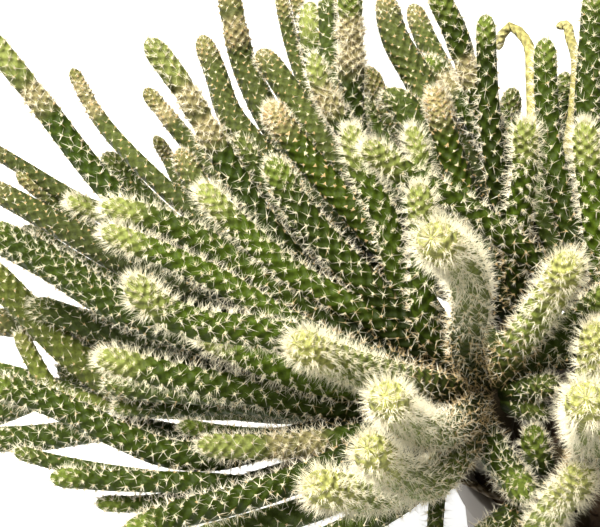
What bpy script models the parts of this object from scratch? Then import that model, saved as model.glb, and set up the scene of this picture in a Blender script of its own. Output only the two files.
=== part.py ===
"""Potted mistletoe cactus: a tapered pot, a plug of peat and a ring of rooted cuttings.

Units are metres, +Z is up, and the origin is the centre of the pot's foot.
"""
import math
import random

import bmesh
import bpy
import numpy as np

MM = 0.001

# Pot
POT_TOP_RADIUS = 42.5 * MM
POT_FOOT_RADIUS = 30.0 * MM
POT_HEIGHT = 76.0 * MM
POT_WALL = 1.6 * MM
FLOOR = 1.8 * MM
FLOOR_FILLET = 2.6 * MM
RIM_DEPTH = 7.0 * MM
RIM_LIP = 1.4 * MM
DRAIN_RADIUS = 3.0 * MM
DRAIN_CIRCLE = 18.0 * MM
DRAIN_COUNT = 6
ROUND_SIDES = 32

# Soil
SOIL_SIDES = 22
SOIL_TOP = 67.0 * MM
FIT_GAP = 0.3 * MM
TRUNK_RADIUS = 3.0 * MM
TRUNK_FOOT = 50.0 * MM
TRUNK_SIDES = 6

# Stems
STEM_SIDES = 6
STEM_RINGS = (0.0, 0.20, 0.50, 0.80)
CROWN_RADIUS = 7.0 * MM
CLEARANCE = 1.3 * MM
SPINE_LENGTH = 2.6 * MM
SPINE_ROOT = 1.3 * MM
SPINE_RADIUS = 0.40 * MM
SPINE_TURN = math.radians(137.5)
THIN_STEM = 3.05 * MM
WELD = 0.01 * MM

# The view that the stems are placed from: a long lens, 28 degrees above level.
VIEW_ELEVATION = math.radians(28.0)
VIEW_POINT = np.array((-0.0766, -0.2773, 0.2705))
LENS_PIXELS = 1500.0
VIEW_MIDDLE = (300.0, 263.5)
VIEW_RIGHT = np.array((1.0, 0.0, 0.0))
VIEW_UP = np.array((0.0, math.sin(VIEW_ELEVATION), math.cos(VIEW_ELEVATION)))
VIEW_AHEAD = np.array((0.0, math.cos(VIEW_ELEVATION), -math.sin(VIEW_ELEVATION)))


def around(angle, radius, height):
    """Point at an angle in degrees round the pot's axis, sizes in millimetres."""
    a = math.radians(angle)
    return np.array((radius * math.cos(a), radius * math.sin(a), height)) * MM


# Crowns of the left half; the right half repeats them half a turn round the pot.
LEFT_CROWNS = {
    "west": around(184, 36, 92),
    "west_low": around(162, 36, 86),
    "north_west": around(139, 33, 92),
    "inner": around(150, 9, 98),
    "south_west": around(229, 33, 87),
}
FILL_CROWNS = {
    "south": around(279, 33, 88),
    "north": around(99, 33, 92),
}
OPPOSITE = {
    "west": "east",
    "west_low": "east_low",
    "north_west": "south_east",
    "inner": "inner_east",
    "south_west": "north_east",
}

# Stems as the view shows them: crown, distance of the tip in mm, width in view pixels,
# growth joints in pixels from the tip, kind, then view pixels from the tip downwards.
STEMS = (
    ("west", 335, 26, (75,), "young", (-15, 33), (37, 98), (105, 182), (190, 262)),
    ("west_low", 395, 19, (20, 45), "slender", (72, 69), (96, 113), (143, 168), (170, 194)),
    ("west", 330, 27, (65, 101), "young", (147, 39), (181, 85), (222, 157), (282, 250)),
    ("west_low", 400, 22, (32,), "slender", (145, 89), (164, 115), (190, 147)),
    ("west_low", 415, 18, (), "slender", (155, 137), (163, 157), (174, 182)),
    ("west_low", 385, 30, (), "slender", (179, 150), (192, 180), (212, 212)),
    ("north_west", 400, 28, (), "slender", (201, 36), (216, 74), (237, 110), (264, 143)),
    ("north_west", 404, 31, (45,), "slender", (227, -16), (234, 22), (242, 45), (262, 92)),
    ("north_west", 390, 30, (), "slender", (260, 53), (279, 82), (301, 114)),
    ("north_west", 415, 19, (), "slender", (280, -8), (289, 45), (304, 90)),
    ("north_west", 405, 19, (), "slender", (294, -12), (300, 56), (309, 100)),
    ("north_west", 375, 24, (), "young", (310, 4), (311, 30), (316, 60)),
    ("north_west", 335, 28, (35, 60), "grown", (349, -15), (352, 50), (352, 112)),
    ("north_west", 332, 23, (38,), "young", (313, 53), (320, 84), (342, 124)),
    ("north_west", 385, 30, (), "slender", (367, 66), (382, 97), (402, 130)),
    ("west", 345, 27, (), "woolly", (267, 103), (300, 150), (330, 185), (372, 232)),
    ("west", 318, 31, (), "grown", (270, 157), (290, 195), (325, 240), (372, 290)),
    ("west_low", 400, 24, (), "old", (224, 118), (262, 152)),
    ("west", 322, 26, (), "grown", (198, 185), (237, 225), (290, 272), (360, 312)),
    ("west", 340, 20, (), "young", (67, 199), (100, 213), (160, 246)),
    ("west", 325, 28, (), "grown", (101, 206), (160, 222), (220, 252), (310, 310)),
    ("west", 318, 25, (), "grown", (101, 230), (150, 249), (205, 273), (300, 325)),
    ("west", 285, 34, (), "woolly", (130, 277), (150, 302), (190, 322), (260, 332)),
    ("west", 335, 25, (), "shaded", (290, 288), (350, 303)),
    ("west", 312, 29, (), "grown", (192, 328), (235, 350), (300, 377)),
    ("west", 315, 29, (), "young", (96, 356), (170, 375), (240, 388), (350, 405)),
    ("west", 320, 30, (), "grown",
     (-20, 384), (30, 395), (70, 411), (120, 435), (165, 453), (210, 457), (262, 446)),
    ("west_low", 350, 20, (), "grown", (113, 407), (185, 407), (240, 401), (300, 397)),
    ("west_low", 380, 28, (), "grown", (-20, 440), (45, 437), (110, 428), (190, 440), (300, 442)),
    ("west_low", 350, 17, (), "shaded", (14, 451), (50, 461), (90, 469), (160, 479), (225, 484)),
    ("west_low", 330, 18, (), "grown", (178, 425), (215, 432), (260, 436)),
    ("west", 312, 28, (75, 105), "young", (197, 445), (260, 447), (350, 438)),
    ("west", 318, 23, (), "grown", (50, 477), (120, 481), (200, 482), (268, 486)),
    ("west", 322, 19, (), "grown", (96, 503), (140, 504), (190, 498), (260, 480)),
    ("west", 285, 31, (), "grown", (122, 537), (170, 517), (230, 502), (290, 482), (370, 448)),
    ("west", 322, 26, (), "grown", (349, 125), (362, 172), (386, 220), (398, 275)),
    ("inner", 300, 28, (), "grown", (363, 144), (408, 176), (470, 212), (535, 262)),
    ("north_west", 390, 33, (), "slender", (386, -5), (400, 40), (415, 85), (434, 134)),
    ("north_west", 410, 27, (), "slender", (412, 5), (426, 40), (445, 80), (466, 150)),
    ("north_west", 345, 27, (), "woolly", (433, 86), (446, 140), (458, 184)),
    ("north_west", 328, 27, (82,), "grown",
     (434, -16), (442, 4), (455, 28), (466, 56), (480, 100), (498, 150)),
    ("north_west", 330, 22, (), "grown", (484, 15), (486, 50), (491, 115)),
    ("inner", 335, 25, (), "grown", (545, 38), (546, 90), (550, 140)),
    ("north_west", 318, 27, (), "grown", (526, 119), (524, 180), (516, 232)),
    ("inner", 318, 28, (), "grown", (584, 120), (587, 155), (593, 200)),
    ("inner", 345, 28, (), "grown", (595, -12), (592, 40), (588, 100)),
    ("north_west", 350, 22, (), "grown", (411, 126), (414, 150), (420, 180)),
    ("west", 300, 29, (), "grown", (419, 183), (424, 250), (428, 330)),
    ("west", 222, 47, (), "grown", (431, 238), (462, 262), (471, 300), (466, 350)),
    ("north_west", 388, 11, (), "dry", (498, 50), (503, 33), (512, 26), (520, 33), (525, 50), (527, 82)),
    ("north_west", 392, 11, (), "dry", (556, 27), (566, 25), (570, 38), (571, 66), (569, 100)),
    ("north_west", 385, 24, (), "shaded", (513, 88), (514, 114), (518, 145)),
    ("west", 280, 38, (), "grown", (574, 257), (544, 307), (510, 357)),
    ("west", 262, 39, (), "grown", (294, 343), (360, 369), (430, 386)),
    ("west", 228, 44, (), "young", (384, 396), (414, 425), (442, 440)),
    ("west", 240, 44, (), "grown", (367, 448), (398, 472), (426, 479), (452, 452)),
    ("west", 250, 42, (), "grown", (312, 486), (350, 492), (396, 487), (442, 466)),
    ("south_west", 285, 33, (), "grown", (597, 322), (590, 380)),
    ("south_west", 225, 48, (), "grown", (586, 398), (590, 432), (592, 456)),
    ("south_west", 300, 29, (), "grown", (530, 428), (534, 462)),
    ("south_west", 262, 36, (), "grown", (588, 470), (558, 502), (535, 535)),
    ("west", 290, 34, (), "grown", (530, 508), (506, 462), (485, 425)),
    ("south_west", 280, 34, (), "shaded", (470, 545), (508, 512)),
    ("west", 292, 18, (), "shaded", (434, 545), (437, 500), (442, 455)),
    ("south_west", 320, 8, (), "dry", (446, 474), (470, 483), (500, 497)),
    ("west_low", 385, 19, (), "slender", (-20, 142), (20, 166), (60, 192)),
    ("west_low", 375, 29, (), "slender", (-20, 182), (60, 226), (120, 262)),
    ("west_low", 350, 37, (), "grown", (-20, 227), (50, 264), (110, 302)),
    ("west_low", 372, 33, (), "old", (-20, 261), (30, 312), (80, 360), (120, 386), (200, 392), (290, 386)),
    ("west_low", 385, 36, (), "slender", (-20, 319), (40, 327), (90, 344), (150, 370)),
    ("west_low", 372, 19, (), "old", (18, 331), (36, 363), (54, 388), (110, 402), (200, 405), (290, 402)),
    ("west_low", 365, 28, (), "shaded", (30, 304), (60, 315), (100, 327), (160, 347), (230, 363)),
    ("west_low", 384, 27, (), "shaded", (60, 364), (90, 386), (120, 398), (200, 400), (290, 400)),
    ("west_low", 345, 24, (), "shaded", (104, 384), (150, 391), (205, 394), (270, 396)),
    ("west_low", 392, 26, (), "shaded", (-25, 422), (5, 411), (40, 397), (100, 384), (170, 380)),
    ("west_low", 383, 22, (), "shaded", (22, 228), (80, 262), (125, 286)),
    ("west_low", 378, 20, (), "slender", (17, 172), (56, 208), (110, 246)),
    ("west_low", 402, 30, (), "shaded", (104, 153), (130, 177), (158, 204)),
    ("west", 345, 26, (), "shaded", (234, 138), (262, 180), (298, 226)),
    ("north_west", 372, 21, (), "shaded", (327, -12), (332, 40), (338, 92)),
    ("north_west", 376, 32, (), "shaded", (386, 94), (399, 118), (412, 150)),
    ("north_west", 370, 20, (), "shaded", (364, 98), (376, 128), (392, 156)),
    ("west", 302, 30, (), "shaded", (190, 542), (260, 524), (326, 503), (380, 474)),
    ("west", 292, 35, (), "grown", (616, 290), (576, 324), (532, 362)),
    ("west", 306, 26, (), "shaded", (556, 383), (530, 388), (507, 392)),
    ("west", 312, 26, (), "shaded", (548, 414), (522, 406), (502, 400)),
    ("inner", 352, 28, (), "shaded", (476, 300), (504, 330), (552, 350)),
    ("west_low", 378, 20, (), "shaded", (-22, 366), (20, 377), (60, 390), (110, 396), (200, 396)),
    ("west", 290, 30, (), "shaded", (300, 552), (352, 528), (404, 498)),
    ("inner", 346, 24, (), "shaded", (540, 132), (541, 172), (546, 215)),
    ("north_west", 392, 22, (), "shaded", (566, 72), (566, 112), (564, 152)),
    ("inner", 352, 22, (), "shaded", (575, 152), (578, 190), (583, 230)),
)


def seen_point(x, y, depth):
    """Point in the world at a view pixel and a depth in millimetres."""
    d = depth * MM
    across = (x - VIEW_MIDDLE[0]) / LENS_PIXELS * d
    up = (VIEW_MIDDLE[1] - y) / LENS_PIXELS * d
    return VIEW_POINT + across * VIEW_RIGHT + up * VIEW_UP + d * VIEW_AHEAD


def view_pixel(point):
    """View pixel and depth in millimetres of a point in the world."""
    q = point - VIEW_POINT
    d = q @ VIEW_AHEAD
    x = VIEW_MIDDLE[0] + LENS_PIXELS * (q @ VIEW_RIGHT) / d
    y = VIEW_MIDDLE[1] - LENS_PIXELS * (q @ VIEW_UP) / d
    return x, y, d / MM


def turned(points, angle):
    """Points turned round the pot's axis by an angle in radians."""
    c, s = math.cos(angle), math.sin(angle)
    return points @ np.array(((c, s, 0.0), (-s, c, 0.0), (0.0, 0.0, 1.0)))


def unit(v):
    return v / np.linalg.norm(v)


def all_crowns():
    crowns = dict(LEFT_CROWNS)
    for name, other in OPPOSITE.items():
        crowns[other] = turned(LEFT_CROWNS[name], math.pi)
    crowns.update(FILL_CROWNS)
    return crowns


CROWNS = all_crowns()


class Stem:
    """One stem: its crown, control points from the crown to the tip, radius and joints."""

    def __init__(self, crown, points, radius, joints, kind, held):
        self.crown = crown
        self.points = np.array(points)
        self.radius = radius
        self.joints = joints
        self.kind = kind
        self.held = held
        steps = np.linalg.norm(np.diff(self.points, axis=0), axis=1)
        self.knots = np.concatenate(((0.0,), np.cumsum(steps)))
        self.length = self.knots[-1]

    def weights(self, fractions):
        """Rows that give points at fractions of the length from the control points."""
        return hermite(np.eye(len(self.points)), self.knots, fractions)

    def at(self, fractions):
        return self.weights(fractions) @ self.points


def hermite(points, knots, fractions):
    """Smooth curve through points at knots, sampled at fractions of the last knot."""
    slopes = np.diff(points, axis=0) / np.diff(knots)[:, None]
    tangents = [slopes[0]]
    for k in range(1, len(points) - 1):
        before = knots[k] - knots[k - 1]
        after = knots[k + 1] - knots[k]
        tangents.append((after * slopes[k - 1] + before * slopes[k]) / (before + after))
    tangents.append(slopes[-1])
    rows = []
    for fraction in fractions:
        u = fraction * knots[-1]
        k = int(np.clip(np.searchsorted(knots, u) - 1, 0, len(points) - 2))
        h = knots[k + 1] - knots[k]
        t = (u - knots[k]) / h
        rows.append((1 + 2 * t) * (1 - t) ** 2 * points[k] + t * (1 - t) ** 2 * h * tangents[k]
                    + t * t * (3 - 2 * t) * points[k + 1] + t * t * (t - 1) * h * tangents[k + 1])
    return np.array(rows)


def seen_stems():
    """The stems of the table, with depth running evenly from the crown to the tip."""
    stems = []
    for crown, tip_depth, width, joints, kind, *pixels in STEMS:
        centre = CROWNS[crown]
        x, y, crown_depth = view_pixel(centre)
        path = [(x, y)] + pixels[::-1]
        run = [0.0]
        for (x0, y0), (x1, y1) in zip(path, path[1:]):
            run.append(run[-1] + math.hypot(x1 - x0, y1 - y0))
        points = [seen_point(px, py, crown_depth + (tip_depth - crown_depth) * along / run[-1])
                  for (px, py), along in zip(path, run)]
        points[0] = centre + unit(points[1] - centre) * CROWN_RADIUS * 0.5
        radius = width * tip_depth / (2.0 * LENS_PIXELS) * MM
        scale = tip_depth / LENS_PIXELS * MM
        stems.append(Stem(crown, points, radius, [j * scale for j in joints], kind, True))
    return stems


def opposite_stems(stems, rng):
    """The same growth on the pot's other side, turned half round and varied a little."""
    others = []
    for stem in stems:
        if stem.kind in ("dry", "shaded") or stem.radius < 1.7 * MM:
            continue
        crown = OPPOSITE[stem.crown]
        centre = CROWNS[crown]
        angle = math.pi + math.radians(rng.uniform(-7, 7))
        points = turned(stem.points, angle)
        reach = rng.uniform(0.90, 1.02)
        lift = rng.uniform(-5, 7) * MM
        share = np.linspace(0.0, 1.0, len(points))[:, None]
        points = centre + (points - points[0]) * reach + share * np.array((0.0, 0.0, lift))
        points[0] = centre + unit(points[1] - centre) * CROWN_RADIUS * 0.5
        radius = stem.radius * rng.uniform(0.94, 1.04)
        joints = stem.joints or [rng.uniform(9, 17) * MM]
        others.append(Stem(crown, points, radius, joints, stem.kind, False))
    return others


FILL = (
    # crown, heading, rise and length of each stem, in degrees and millimetres
    ("south", 227, 10, 92), ("south", 336, 14, 98), ("south", 262, 8, 84), ("south", 301, 12, 100),
    ("south", 240, 30, 88), ("south", 322, 34, 96), ("south", 284, 38, 92), ("south", 254, 56, 84),
    ("south", 345, 58, 90), ("south", 296, 66, 82), ("south", 276, 22, 96),
    ("north", 34, 10, 92), ("north", 142, 14, 84), ("north", 72, 8, 96), ("north", 107, 12, 98),
    ("north", 47, 30, 100), ("north", 128, 36, 88), ("north", 60, 58, 88),
    ("north", 70, 68, 84), ("north", 82, 24, 100),
    ("inner", 58, 74, 74), ("inner", 285, 74, 62),
    ("inner_east", 20, 78, 72), ("inner_east", 120, 76, 66),
    ("inner_east", 265, 68, 70), ("inner_east", 320, 58, 76),
    ("north_east", 48, 34, 96), ("north_east", 70, 12, 92), ("north_east", 20, 52, 86),
)


def fill_stems(rng):
    """Arching stems that close the ring between the halves and the middle of the plant."""
    stems = []
    up = np.array((0.0, 0.0, 1.0))
    for crown, heading, rise, length in FILL:
        centre = CROWNS[crown]
        turn, rise = math.radians(heading), math.radians(rise)
        length *= MM
        out = np.array((math.cos(turn), math.sin(turn), 0.0))
        aside = np.array((-out[1], out[0], 0.0)) * rng.uniform(-6, 6) * MM
        middle = centre + length * 0.5 * (out * math.cos(rise) + up * math.sin(rise)) + aside
        tip = centre + length * (out * math.cos(rise) + up * (math.sin(rise) - 0.10))
        base = centre + unit(middle - centre) * CROWN_RADIUS * 0.5
        radius = rng.uniform(2.9, 3.5) * MM
        stems.append(Stem(crown, (base, middle, tip), radius, [rng.uniform(9, 17) * MM],
                          "grown", False))
    return stems


def trunk_foot(centre):
    return np.array((centre[0] * 0.80, centre[1] * 0.80, TRUNK_FOOT))


def settle(stems, rounds=90):
    """Ease crossing stems apart; those read from the view move mostly along it."""
    shares = np.linspace(0.0, 1.0, 25)
    rows = []
    for stem in stems:
        rings = ring_shares(stem)
        ring_rows = stem.weights(rings)
        rows.append(np.array([np.interp(shares, rings, column) for column in ring_rows.T]).T)
    owner = np.repeat(np.arange(len(stems)), len(shares))
    radii = np.concatenate([np.interp(shares, ring_shares(s), ring_radii(s)) for s in stems])
    far = np.concatenate([shares * s.length for s in stems])
    crown_names = list(CROWNS)
    crown = np.array([crown_names.index(stems[k].crown) for k in owner])
    posts = []
    for number, centre in enumerate(CROWNS.values()):
        posts.append((centre, CROWN_RADIUS, number))
        foot = trunk_foot(centre)
        for share in (0.75, 0.5, 0.25):
            posts.append((foot + (centre - foot) * share, TRUNK_RADIUS, number))
    post_points = np.array([p[0] for p in posts])
    post_radii = np.array([p[1] for p in posts])
    post_crowns = np.array([p[2] for p in posts])
    worst = 0.0
    for _ in range(rounds):
        samples = np.concatenate([r @ s.points for r, s in zip(rows, stems)])
        push = np.zeros_like(samples)
        squares = (samples ** 2).sum(axis=1)
        apart = squares[:, None] + squares[None, :] - 2.0 * samples @ samples.T
        first, second = np.nonzero(np.triu(apart < (9.5 * MM) ** 2, 1))
        mask = owner[first] != owner[second]
        first, second = first[mask], second[mask]
        gap = np.where(crown[first] == crown[second], -0.8 * MM, CLEARANCE)
        together = (crown[first] == crown[second]) & (np.minimum(far[first], far[second]) < 26 * MM)
        between = samples[first] - samples[second]
        distance = np.linalg.norm(between, axis=1) + 1e-9
        deficit = radii[first] + radii[second] + gap - distance
        mask = (deficit > 0) & ~together
        worst = deficit[mask & (crown[first] != crown[second])].max(initial=0.0)
        shift = (0.5 * deficit[mask] / distance[mask])[:, None] * between[mask]
        np.add.at(push, first[mask], shift)
        np.add.at(push, second[mask], -shift)
        for point, radius, number in zip(post_points, post_radii, post_crowns):
            away = samples - point
            distance = np.linalg.norm(away, axis=1) + 1e-9
            deficit = radii + radius + CLEARANCE - distance
            mask = (deficit > 0) & (crown != number)
            push[mask] += (deficit[mask] / distance[mask])[:, None] * away[mask]
        out = np.hypot(samples[:, 0], samples[:, 1])
        low = POT_HEIGHT + radii + 1.5 * MM - samples[:, 2]
        rim = POT_TOP_RADIUS + radii + 1.5 * MM - out
        mask = (low > 0) & (rim > 0)
        lift = mask & (low < rim)
        push[lift, 2] += low[lift]
        aside = mask & ~lift
        push[aside, :2] += (rim[aside] / out[aside])[:, None] * samples[aside, :2]
        start = 0
        for row, stem in zip(rows, stems):
            part = push[start:start + len(shares)]
            start += len(shares)
            if not part.any():
                continue
            weight = np.abs(row) + 1e-9
            move = (weight.T @ part) / (weight.T @ (np.abs(part).sum(axis=1) > 0) + 0.6)[:, None]
            if stem.held:
                sight = stem.points - VIEW_POINT
                sight /= np.linalg.norm(sight, axis=1)[:, None]
                inward = (move * sight).sum(axis=1)[:, None] * sight
                move = inward * 1.4 + (move - inward) * 0.35
            move[0] = 0.0
            stem.points = stem.points + move
    return worst


def ring_shares(stem):
    """Fractions of the length that carry a ring of vertices."""
    return np.array(STEM_RINGS + (1.0 - 0.85 * stem.radius / stem.length, 1.0))


def ring_radii(stem):
    """Radius at each ring: a narrow neck, a full body, a pinched joint and a round tip."""
    radii = np.array((0.55, 0.94, 1.0, 0.98, 0.74, 0.05)) * stem.radius
    if stem.kind == "slender":
        radii[3:5] = 0.93 * stem.radius, 0.60 * stem.radius
    for joint in stem.joints:
        share = 1.0 - joint / stem.length
        ring = int(np.argmin(np.abs(ring_shares(stem)[2:4] - share))) + 2
        radii[ring] = 0.86 * stem.radius
    return radii


def frames(path):
    """A side vector and a second side vector square to the path at each of its points."""
    ahead = np.gradient(path, axis=0)
    ahead /= np.linalg.norm(ahead, axis=1)[:, None]
    side = unit(np.cross(ahead[0], (0.31, 0.22, 0.92)))
    sides = []
    for direction in ahead:
        side = unit(side - (side @ direction) * direction)
        sides.append(side)
    sides = np.array(sides)
    return ahead, sides, np.cross(ahead, sides)


def tube(path, radii, sides_count, closed_tip=False):
    """Vertices and faces of a closed round tube along a path."""
    _, one, two = frames(path)
    verts = []
    faces = []
    rings = len(path) - 1 if closed_tip else len(path)
    for k in range(rings):
        for s in range(sides_count):
            a = 2.0 * math.pi * s / sides_count
            verts.append(path[k] + radii[k] * (math.cos(a) * one[k] + math.sin(a) * two[k]))
    for k in range(rings - 1):
        for s in range(sides_count):
            t = (s + 1) % sides_count
            low, high = k * sides_count, (k + 1) * sides_count
            faces.append((low + s, low + t, high + t, high + s))
    faces.append(tuple(range(sides_count))[::-1])
    top = (rings - 1) * sides_count
    if closed_tip:
        verts.append(path[-1])
        faces += [(top + s, top + (s + 1) % sides_count, len(verts) - 1) for s in range(sides_count)]
    else:
        faces.append(tuple(range(top, top + sides_count)))
    return verts, faces


def add_object(name, verts, faces, material=None, collection=None):
    mesh = bpy.data.meshes.new(name)
    mesh.from_pydata([tuple(v) for v in verts], [], faces)
    mesh.validate()
    obj = bpy.data.objects.new(name, mesh)
    (collection or bpy.context.scene.collection).objects.link(obj)
    if material:
        mesh.materials.append(material)
    return obj


def principled(name, colour, roughness):
    material = bpy.data.materials.new(name)
    material.use_nodes = True
    shader = material.node_tree.nodes["Principled BSDF"]
    shader.inputs["Base Color"].default_value = (*colour, 1.0)
    shader.inputs["Roughness"].default_value = roughness
    return material


def spine(root, direction):
    """A three-sided spike whose root is sunk in the stem."""
    side = unit(np.cross(direction, (0.43, 0.58, 0.69)))
    other = np.cross(direction, side)
    foot = root - direction * SPINE_ROOT
    verts = [foot + SPINE_RADIUS * (math.cos(a) * side + math.sin(a) * other)
             for a in (0.0, 2.0944, 4.1888)]
    verts.append(root + direction * SPINE_LENGTH)
    return verts, [(2, 1, 0), (0, 1, 3), (1, 2, 3), (2, 0, 3)]


def spine_places(stem):
    """Root and direction of spines spread evenly along a stem and round it."""
    count = 1 if stem.kind == "shaded" or stem.radius < THIN_STEM else 2
    gaps = np.array([2.0 * MM + k * (stem.length - 26 * MM) / count for k in range(count)])
    shares = 1.0 - gaps / stem.length
    ahead, one, two = frames(stem.at(np.concatenate((shares[::-1], (1.0,)))))
    rings = ring_shares(stem)
    corners = stem.at(rings)
    places = []
    for k, share in enumerate(shares):
        index = count - 1 - k
        angle = SPINE_TURN * k + stem.length * 900.0
        outward = math.cos(angle) * one[index] + math.sin(angle) * two[index]
        centre = np.array([np.interp(share, rings, axis) for axis in corners.T])
        radius = float(np.interp(share, rings, ring_radii(stem)))
        direction = unit(outward + 0.35 * ahead[index])
        places.append((centre + outward * radius * 0.93, direction))
    return places


def clear_spines(stems):
    """Spines that stay clear of every other stem, crown, trunk and spine."""
    samples = []
    radii = []
    owner = []
    shares = np.linspace(0.0, 1.0, 33)
    for number, stem in enumerate(stems):
        rings = ring_shares(stem)
        corners = stem.at(rings)
        samples.append(np.array([np.interp(shares, rings, axis) for axis in corners.T]).T)
        radii.append(np.interp(shares, rings, ring_radii(stem)))
        owner += [number] * len(shares)
    for centre in CROWNS.values():
        foot = trunk_foot(centre)
        for share in (1.0, 0.75, 0.5, 0.25):
            samples.append((foot + (centre - foot) * share)[None, :])
            radii.append(np.array((CROWN_RADIUS if share == 1.0 else TRUNK_RADIUS,)))
            owner.append(-1)
    samples = np.concatenate(samples)
    radii = np.concatenate(radii)
    owner = np.array(owner)
    kept = [[] for _ in stems]
    taken = []
    for number, stem in enumerate(stems):
        if stem.kind == "dry":
            continue
        for root, direction in spine_places(stem):
            reach = [root + direction * SPINE_LENGTH * f for f in (0.25, 0.6, 1.0)]
            clear = True
            for point in reach:
                near = np.linalg.norm(samples - point, axis=1) < radii + 1.0 * MM
                if (near & (owner != number)).any():
                    clear = False
                out = math.hypot(point[0], point[1])
                if point[2] < POT_HEIGHT + 1.0 * MM and out < POT_TOP_RADIUS + 1.5 * MM:
                    clear = False
            if clear and taken:
                others = np.array(taken)
                for point in reach + [root]:
                    if (np.linalg.norm(others - point, axis=1) < 1.5 * MM).any():
                        clear = False
            if clear:
                kept[number].append((root, direction))
                taken += reach + [root]
    return kept


def union_of(base, collection):
    """Join every object of a collection to the base and remove them."""
    for solver in ("MANIFOLD", "EXACT"):
        modifier = base.modifiers.new("join", "BOOLEAN")
        modifier.operation = "UNION"
        modifier.operand_type = "COLLECTION"
        modifier.collection = collection
        modifier.solver = solver
        if solver == "EXACT":
            modifier.use_self = False
        graph = bpy.context.evaluated_depsgraph_get()
        mesh = bpy.data.meshes.new_from_object(base.evaluated_get(graph))
        base.modifiers.remove(modifier)
        if closed(mesh):
            break
    old = base.data
    base.data = mesh
    bpy.data.meshes.remove(old)
    for obj in list(collection.objects):
        bpy.data.objects.remove(obj)
    bpy.data.collections.remove(collection)


def closed(mesh):
    bm = bmesh.new()
    bm.from_mesh(mesh)
    whole = bool(bm.edges) and all(e.is_manifold for e in bm.edges)
    bm.free()
    return whole


def keep_main_body(obj):
    """Drop loose scraps and sealed hollows, and weld slivers where that leaves it closed."""
    bm = bmesh.new()
    bm.from_mesh(obj.data)
    bmesh.ops.triangulate(bm, faces=bm.faces)
    groups = []
    seen = set()
    for start in bm.verts:
        if start in seen:
            continue
        seen.add(start)
        group = [start]
        for vert in group:
            for edge in vert.link_edges:
                other = edge.other_vert(vert)
                if other not in seen:
                    seen.add(other)
                    group.append(other)
        groups.append(group)
    groups.sort(key=len, reverse=True)
    loose = [vert for group in groups[1:] for vert in group]
    bmesh.ops.delete(bm, geom=loose, context="VERTS")
    bm.to_mesh(obj.data)
    bmesh.ops.remove_doubles(bm, verts=bm.verts, dist=WELD)
    bmesh.ops.dissolve_degenerate(bm, dist=WELD, edges=bm.edges)
    bmesh.ops.triangulate(bm, faces=bm.faces)
    if all(edge.is_manifold for edge in bm.edges):
        bm.to_mesh(obj.data)
    bm.free()


def smooth(obj):
    for polygon in obj.data.polygons:
        polygon.use_smooth = True


def revolved(profile, sides, name, material):
    """Solid of revolution; a profile point at radius zero becomes a pole."""
    verts = []
    rings = []
    for radius, height in profile:
        if radius == 0.0:
            rings.append([len(verts)])
            verts.append((0.0, 0.0, height))
        else:
            rings.append(list(range(len(verts), len(verts) + sides)))
            verts += [(radius * math.cos(2 * math.pi * s / sides),
                       radius * math.sin(2 * math.pi * s / sides), height) for s in range(sides)]
    faces = []
    for low, high in zip(rings, rings[1:]):
        for s in range(sides):
            t = (s + 1) % sides
            corners = [low[s % len(low)], low[t % len(low)], high[t % len(high)], high[s % len(high)]]
            unique = list(dict.fromkeys(corners))
            faces.append(unique)
    return add_object(name, verts, faces, material)


def cut(target, cutters):
    """Subtract cutters one at a time and remove them."""
    for cutter in cutters:
        cutter.hide_render = True
        cutter.display_type = "WIRE"
        modifier = target.modifiers.new("cut", "BOOLEAN")
        modifier.operation = "DIFFERENCE"
        modifier.object = cutter
        modifier.solver = "EXACT"
        graph = bpy.context.evaluated_depsgraph_get()
        mesh = bpy.data.meshes.new_from_object(target.evaluated_get(graph))
        target.modifiers.remove(modifier)
        old = target.data
        target.data = mesh
        bpy.data.meshes.remove(old)
        bpy.data.objects.remove(cutter)


def wall_radius(height):
    """Outer radius of the pot's wall at a height."""
    return POT_FOOT_RADIUS + (POT_TOP_RADIUS - RIM_LIP - POT_FOOT_RADIUS) * height / POT_HEIGHT


def hollow_radius(height):
    """Inner radius of the pot at a height, between its floor and its rim."""
    foot = POT_FOOT_RADIUS - POT_WALL + 0.1 * MM
    top = POT_TOP_RADIUS - RIM_LIP - POT_WALL
    share = (height - FLOOR_FILLET) / (POT_HEIGHT - 0.8 * MM - FLOOR_FILLET)
    return foot + (top - foot) * share


def make_pot(material):
    rim_under = POT_HEIGHT - RIM_DEPTH
    profile = (
        (0.0, 0.0),
        (POT_FOOT_RADIUS - 1.0 * MM, 0.0),
        (POT_FOOT_RADIUS, 1.0 * MM),
        (wall_radius(rim_under), rim_under),
        (POT_TOP_RADIUS - 0.3 * MM, rim_under + 0.4 * MM),
        (POT_TOP_RADIUS, rim_under + 1.2 * MM),
        (POT_TOP_RADIUS, POT_HEIGHT - 0.8 * MM),
        (POT_TOP_RADIUS - 0.8 * MM, POT_HEIGHT),
        (POT_TOP_RADIUS - RIM_LIP - POT_WALL + 0.8 * MM, POT_HEIGHT),
        (hollow_radius(POT_HEIGHT - 0.8 * MM), POT_HEIGHT - 0.8 * MM),
        (hollow_radius(FLOOR_FILLET), FLOOR_FILLET),
        (hollow_radius(FLOOR_FILLET) - 1.0 * MM, FLOOR),
        (0.0, FLOOR),
    )
    pot = revolved(profile, ROUND_SIDES, "pot", material)
    drains = []
    for k in range(DRAIN_COUNT):
        a = 2 * math.pi * (k + 0.5) / DRAIN_COUNT
        centre = np.array((DRAIN_CIRCLE * math.cos(a), DRAIN_CIRCLE * math.sin(a), 0.0))
        path = np.array((centre - (0, 0, 2 * MM), centre + (0, 0, 4 * MM)))
        verts, faces = tube(path, (DRAIN_RADIUS, DRAIN_RADIUS), 8)
        drains.append(add_object("drain", verts, faces))
    cut(pot, drains)
    smooth(pot)
    return pot


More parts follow.
